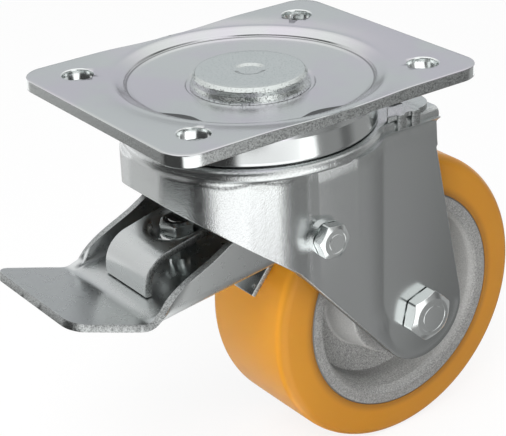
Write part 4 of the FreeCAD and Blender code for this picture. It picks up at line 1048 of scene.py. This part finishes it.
class CASTOR_OT_pedal(bpy.types.Operator):
    """Build the pedal: one sheet that runs from the foot into a channel with two walls"""
    bl_idname = "castor.pedal"
    bl_label = "Pedal"

    def execute(self, context):
        look = finishes(context)
        low, high = node_box("pedal")
        sheet, bend, half, corner_round = 3.0 * MM, 1.6 * MM, high[1], 6 * MM
        tip, heel, end = low[0] + 1.0 * MM, -69.0 * MM, -2.0 * MM
        boss, pivot = 10.0 * MM, (PIVOT[0], PIVOT[2])
        foot = channel_floor(heel) + 10.8 * MM
        line = even(rounded([(tip, foot), (heel - 0.5 * MM, channel_floor(heel), 8 * MM),
                             (end, channel_floor(end))], 24), 200)
        run, height = line[:, 0], line[:, 1]
        # upper edge of the wall: up to the crest, down to the boss and round it to the floor's end
        rise, crest = (-66 * MM, channel_floor(-66 * MM) + 1.2 * MM), (-31.8 * MM, -52.01 * MM)
        touch = tangent_spot(crest, pivot, boss, 1)
        fall = channel_floor(end) + bend + 1.2 * MM - pivot[1]
        close = (pivot[0] - math.sqrt(boss ** 2 - fall ** 2), pivot[1] + fall)
        brow = np.concatenate([rounded([rise, (*crest, 7 * MM), tuple(touch)], 12),
                               arc_between(pivot, touch, close, True, 40)])
        reach = lengths(brow)
        crest_at = reach[int(np.argmax(brow[:, 1]))]
        picked = np.interp(run, [rise[0], crest[0], -12 * MM, end],
                           [0.0, crest_at, crest_at + 24 * MM, reach[-1] - 1e-5])
        walled = run > rise[0]
        edge_x = np.where(walled, np.interp(picked, reach, brow[:, 0]), run)
        edge_z = np.where(walled, np.interp(picked, reach, brow[:, 1]), height)
        # the sheet curls up along its sides from the flat foot into the channel
        curl = smooth_step(run, -73 * MM, -57 * MM)
        angle = curl * math.pi / 2
        away = run - (tip + corner_round)
        bow = np.sqrt(np.maximum(corner_round ** 2 - away ** 2, 0.0))
        corner = np.where(away < 0, corner_round - bow, 0.0)
        wide = half - 1.3 * MM * smooth_step(-run, 73 * MM, 102 * MM) - corner
        inner = np.minimum(half - sheet - bend, wide - 0.4 * MM)
        level = height + bend * (1 - np.cos(angle))
        slope = np.gradient(height) / np.gradient(run)
        down = unit(np.column_stack([slope, 0 * run, -np.ones_like(run)]))
        sideways = np.array([0.0, 1.0, 0.0])
        rows = [np.column_stack([run, inner * part, height]) for part in np.linspace(0.0, 1.0, 12)]
        away_rows = [down] * len(rows)
        for part in np.linspace(0.0, 1.0, 7)[1:]:
            swing = angle * part
            rows.append(np.column_stack([run, inner + bend * np.sin(swing),
                                         height + bend * (1 - np.cos(swing))]))
            away_rows.append(down * np.cos(swing)[:, None] + sideways * np.sin(swing)[:, None])
        knee, turned_out = rows[-1], away_rows[-1]
        spread = (wide - inner) * (1 - curl) * np.cos(angle * 0.5)
        shift = (edge_x - run) * smooth_step(run, -66 * MM, -52 * MM)
        lift = np.where(walled, np.maximum(edge_z - level, 0.0), 0.0)
        rise_up = np.maximum(lift, 2.6 * MM * np.sin(angle) * (1 - smooth_step(run, -62 * MM, -50 * MM)))
        rise_up = np.where(run > -20 * MM, edge_z - level, rise_up)
        for part in np.linspace(0.0, 1.0, 26)[1:]:
            rows.append(knee + np.column_stack([shift, spread, rise_up]) * part)
            away_rows.append(turned_out)
        whole, whole_away = (np.concatenate([side[:0:-1] * (1, -1, 1), side])
                             for side in (np.stack(rows), np.stack(away_rows)))
        slab("pedal_pressing", whole, whole_away, sheet, [look["brake"], look["edge"]], "brake",
             ("pedal",), "fork_zinc")
        return {"FINISHED"}


def strap_top(place):
    """Height of the strap's upper face at a place along X."""
    return -52.51 * MM + 0.2235 * (place + 36.6 * MM)


class CASTOR_OT_strap(bpy.types.Operator):
    """Build the clamping strap with its round nose and the dished seat of its bolt"""
    bl_idname = "castor.strap"
    bl_label = "Strap"

    def execute(self, context):
        look = finishes(context)
        low, high = node_box("brake_strap")
        sheet, half, dish, columns = 3.0 * MM, high[1], 7.6 * MM, 81
        clamp = node_box("clamp_bolt")
        centre = float((clamp[0][0] + clamp[1][0]) / 2)
        path = even(rounded([(low[0], low[2]), (low[0], strap_top(low[0]), 12.5 * MM),
                             (high[0], strap_top(high[0]))], 20), 150)
        run, height = (np.repeat(path[:, column:column + 1], columns, axis=1) for column in (0, 1))
        side = np.repeat(np.linspace(-half, half, columns)[None, :], len(path), axis=0)
        # the dish: its floor is level along Y, and its wall eases out into the sheet
        reach = np.hypot(run - centre, side)
        sunk = (4.0 * MM * (1 - smooth_step(reach, dish, 12.2 * MM))
                + 0.35 * MM * (1 - smooth_step(reach, 11.0 * MM, 13.6 * MM)))
        target = np.where(reach < dish, strap_top(centre) - 4.2 * MM, height - sunk)
        blend = smooth_step(reach, 6.0 * MM, 9.0 * MM)
        height = np.where(run > low[0] + 6 * MM, target * (1 - blend) + (height - sunk) * blend, height)
        along = unit(np.gradient(path, axis=0))
        away = np.column_stack([along[:, 1], 0 * along[:, 0], -along[:, 0]])[:, None]
        slab("strap_pressing", np.stack([run, side, height], axis=-1), np.repeat(away, columns, axis=1),
             sheet, [look["brake"], look["edge"]], "brake", ("brake_strap",), "fork_zinc")
        return {"FINISHED"}


def softened(name, node, materials, body, edge, sheared):
    """Copy of a plain node with its doubles merged and its edges rounded; the faces that stand
    "upright", or only those that look to the "sides", take the sheared finish."""
    mesh = frame["nodes"][node].data.copy()
    mesh.name = name
    mesh.materials.clear()
    for material in materials:
        mesh.materials.append(material)
    made = linked(name, mesh)
    weld(mesh, flat=2.0)
    facing = np.empty(3 * len(mesh.polygons))
    mesh.polygons.foreach_get("normal", facing)
    facing = np.abs(facing.reshape(-1, 3))
    chosen = facing[:, 1] > 0.5 if sheared == "sides" else facing[:, 2] < 0.5
    mesh.polygons.foreach_set("material_index", chosen.astype(np.int32))
    round_edges(made, edge, "ANGLE", 40.0)
    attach(made, body)
    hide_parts(node)


class CASTOR_OT_plates(bpy.types.Operator):
    """Build the lock plate and the brake shoe with their sheared edges rounded"""
    bl_idname = "castor.plates"
    bl_label = "Lock plate and shoe"

    def execute(self, context):
        look = finishes(context)
        pair = [look["fork"], look["edge"]]
        softened("lock_leaf", "lock_plate", pair, "fork", 0.35 * MM, "upright")
        softened("shoe_plate", "brake_shoe", pair, "brake", 0.4 * MM, "sides")
        return {"FINISHED"}


class CASTOR_OT_carried(bpy.types.Operator):
    """Give every node that keeps its own shape its finish"""
    bl_idname = "castor.carried"
    bl_label = "Carried pieces"

    def execute(self, context):
        look = finishes(context)
        slots = {row["node"]: row["material_slot"] for row in frame["record"]["subparts"]}
        kinds = {"plate_zinc": "plate", "fork_zinc": "fork", "bolt_zinc": "bolt", "race_steel": "steel",
                 "tread_polyurethane": "tread", "cast_iron": "cast"}
        for name, node in frame["nodes"].items():
            node.data.materials.clear()
            node.data.materials.append(look[kinds[slots[name]]])
        return {"FINISHED"}


# Studio: ramp stops are (share of a full turn, or of the height, and colour or grey)

CARDS = [(0.0, 0.36), (0.10, 0.55), (0.30, 0.75), (0.365, 0.62), (0.400, 0.06), (0.606, 0.05), (0.625, 1.5),
         (0.768, 1.5), (0.782, 0.31), (0.872, 0.32), (0.886, 0.16), (0.905, 0.17), (0.93, 0.36)]
WALL_CARDS = [(0.0, 0.7), (0.10, (0.62, 0.64, 0.66)), (0.20, (0.62, 0.64, 0.66)), (0.30, 0.85), (0.39, 0.80),
              (0.42, 0.08), (0.66, 0.07), (0.70, 1.3), (0.785, 1.3), (0.80, 0.36), (0.87, 0.28), (0.90, 0.12),
              (0.92, 0.13), (0.95, 0.45)]
SKY = [(0.0, 0.8), (0.5, 0.9), (0.68, (0.66, 0.67, 0.69)), (0.76, 0.75), (0.86, 1.0), (1.0, 1.15)]
LAMPS = [("lamp_left", (-0.7, -0.5, 0.9), (0.7, 0.5), 8.5),
         ("lamp_front", (-0.65, -0.65, 0.05), (0.4, 0.4), 3.2)]
LAMP_TARGET = (0.02, 0.0, -0.07)
AZIMUTH, ELEVATION, ROLL = -35.5, 25.4, -2.27
TARGET, DISTANCE = (-0.00125, 0.0, -0.06234), 0.6484
FOCAL_PIXELS, FRAME_WIDTH, SENSOR = 1644.17, 506.0, 36.0


def look_along(direction):
    """Turn that points a lamp's beam or a camera's lens along a direction."""
    return Vector(direction).to_track_quat("-Z", "Y")


class CASTOR_OT_stage(bpy.types.Operator):
    """Build the floor, the lamps, the surroundings and the camera"""
    bl_idname = "castor.stage"
    bl_label = "Stage"

    def execute(self, context):
        self.floor()
        self.surroundings(context.scene)
        self.lamps()
        self.camera(context.scene)
        context.scene.view_settings.view_transform = "Standard"
        return {"FINISHED"}

    def floor(self):
        """Pale floor: a disc whose colour is white to the eye and carries cards for the metal."""
        angle = round_turn(96)
        reach = np.array([0.0, 0.2, 0.6, 3.0])[:, None]
        points = np.stack([reach * np.cos(angle), reach * np.sin(angle), 0 * reach * angle], axis=-1)
        mesh = bpy.data.meshes.new("floor")
        mesh.from_pydata(points.reshape(-1, 3) + (0, 0, FLOOR_LEVEL), [], grid_faces(4, 96).tolist())
        tidy_mesh(mesh, 30.0)
        material, wire, place, shader = new_material("floor_card")
        across, along, _ = place.split()
        turn, reach = across.turn(along), across.reach(along)
        far = reach.step(0.42, 0.50) * (1.0 - turn.step(0.70, 0.80))
        far = far * (1.0 - turn.step(0.36, 0.39) * (1.0 - turn.step(0.61, 0.63)))
        strip = reach.step(0.238, 0.255) * turn.step(0.758, 0.775) * (1.0 - turn.step(0.801, 0.812))
        cards = strip.mix(far.mix(turn.ramp(CARDS), 1.15), 1.85)
        white = wire.node("ShaderNodeEmission", None, {"Color": rgba(1.0), "Strength": 1.03})
        card = wire.node("ShaderNodeEmission", None, {"Color": cards, "Strength": 1.0})
        plug(wire, shader, Base_Color=rgba(0.9), Roughness=0.9)
        plain = Wire(wire.tree, shader.outputs[0])
        seen = wire.node("ShaderNodeMixShader", None, {0: 0.82, 1: plain, 2: white})
        shown = wire.node("ShaderNodeMixShader", None, {0: wire.ray("Camera"), 1: plain, 2: seen})
        shown = wire.node("ShaderNodeMixShader", None, {0: wire.ray("Glossy"), 1: shown, 2: card})
        wire.tree.links.new(shown.socket, node_of(wire.tree, "OUTPUT_MATERIAL").inputs[0])
        mesh.materials.append(material)
        linked("floor", mesh)

    def surroundings(self, scene):
        """White to the camera; to everything else a studio that is brighter low and high up."""
        world = bpy.data.worlds.new("studio")
        scene.world = world
        world.use_nodes = True
        wire = Wire(world.node_tree)
        across, along, up = wire.node("ShaderNodeTexCoord", out="Generated").split()
        turn = across.turn(along)
        level = (1.0 - up.step(0.42, 0.60)).mix((up * 0.5 + 0.5).ramp(SKY), turn.ramp(WALL_CARDS))
        behind = turn.step(0.03, 0.06) * (1.0 - turn.step(0.24, 0.27))
        low_band = up.step(0.05, 0.08) * (1.0 - up.step(0.13, 0.18))
        level = (behind * low_band).mix(level, 0.10)
        facing = across * -0.526 + along * -0.737 + up * 0.42
        level = facing.step(0.955, 0.975).mix(level, (0.09, 0.10, 0.10))
        level = (wire.ray("Diffuse") * 0.25).mix(level, 0.0)
        colour = wire.ray("Camera").mix(level, 1.0)
        plug(wire, node_of(wire.tree, "BACKGROUND"), Color=colour, Strength=1.0)

    def lamps(self):
        """Two soft lamps: a broad one over the left front and a weaker one low in front."""
        for name, place, size, power in LAMPS:
            data = bpy.data.lights.new(name, "AREA")
            data.shape = "RECTANGLE"
            data.size, data.size_y = size
            data.energy = power
            lamp = linked(name, data)
            lamp.location = place
            lamp.rotation_euler = look_along(np.array(LAMP_TARGET) - np.array(place)).to_euler()
            lamp.visible_glossy = False

    def camera(self, scene):
        """Camera at the photograph's angle, with the long lens that its perspective shows."""
        data = bpy.data.cameras.new("camera")
        data.sensor_width = SENSOR
        data.lens = FOCAL_PIXELS / FRAME_WIDTH * SENSOR
        data.clip_start, data.clip_end = 0.01, 20.0
        turn, rise, roll = (math.radians(value) for value in (AZIMUTH, ELEVATION, ROLL))
        back = np.array([math.sin(turn) * math.cos(rise), -math.cos(turn) * math.cos(rise), math.sin(rise)])
        camera = linked("camera", data)
        camera.matrix_world = (Matrix.Translation(Vector(np.array(TARGET) + DISTANCE * back))
                               @ look_along(-back).to_matrix().to_4x4() @ Matrix.Rotation(roll, 4, "Z"))
        scene.camera = camera


class CASTOR_PT_panel(bpy.types.Panel):
    """Buttons for each piece and the stage"""
    bl_idname = "CASTOR_PT_panel"
    bl_label = "Castor"
    bl_space_type = "VIEW_3D"
    bl_region_type = "UI"
    bl_category = "Castor"

    def draw(self, context):
        for group in ("castor_plate", "castor_wheel", "castor_zinc"):
            for name in getattr(context.scene, group).__annotations__:
                self.layout.prop(getattr(context.scene, group), name)
        for step in STEPS:
            self.layout.operator(step.bl_idname)


GROUPS = {"castor_plate": CastorPlate, "castor_wheel": CastorWheel, "castor_zinc": CastorZinc}
STEPS = (CASTOR_OT_carried, CASTOR_OT_top_plate, CASTOR_OT_kingpin, CASTOR_OT_fork, CASTOR_OT_wheel,
         CASTOR_OT_pedal, CASTOR_OT_strap, CASTOR_OT_plates, CASTOR_OT_fasteners, CASTOR_OT_stage)


def register():
    """Register the settings, the operators and the panel."""
    for group in GROUPS.values():
        bpy.utils.register_class(group)
    for step in (*STEPS, CASTOR_PT_panel):
        bpy.utils.register_class(step)
    for name, group in GROUPS.items():
        setattr(bpy.types.Scene, name, bpy.props.PointerProperty(type=group))


def unregister():
    """Take the settings, the operators and the panel out again."""
    for name in GROUPS:
        delattr(bpy.types.Scene, name)
    for step in (CASTOR_PT_panel, *reversed(STEPS), *reversed(list(GROUPS.values()))):
        bpy.utils.unregister_class(step)


def main():
    """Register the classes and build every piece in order."""
    register()
    for step in STEPS:
        family, name = step.bl_idname.split(".")
        getattr(getattr(bpy.ops, family), name)()


if __name__ == "__main__":
    main()
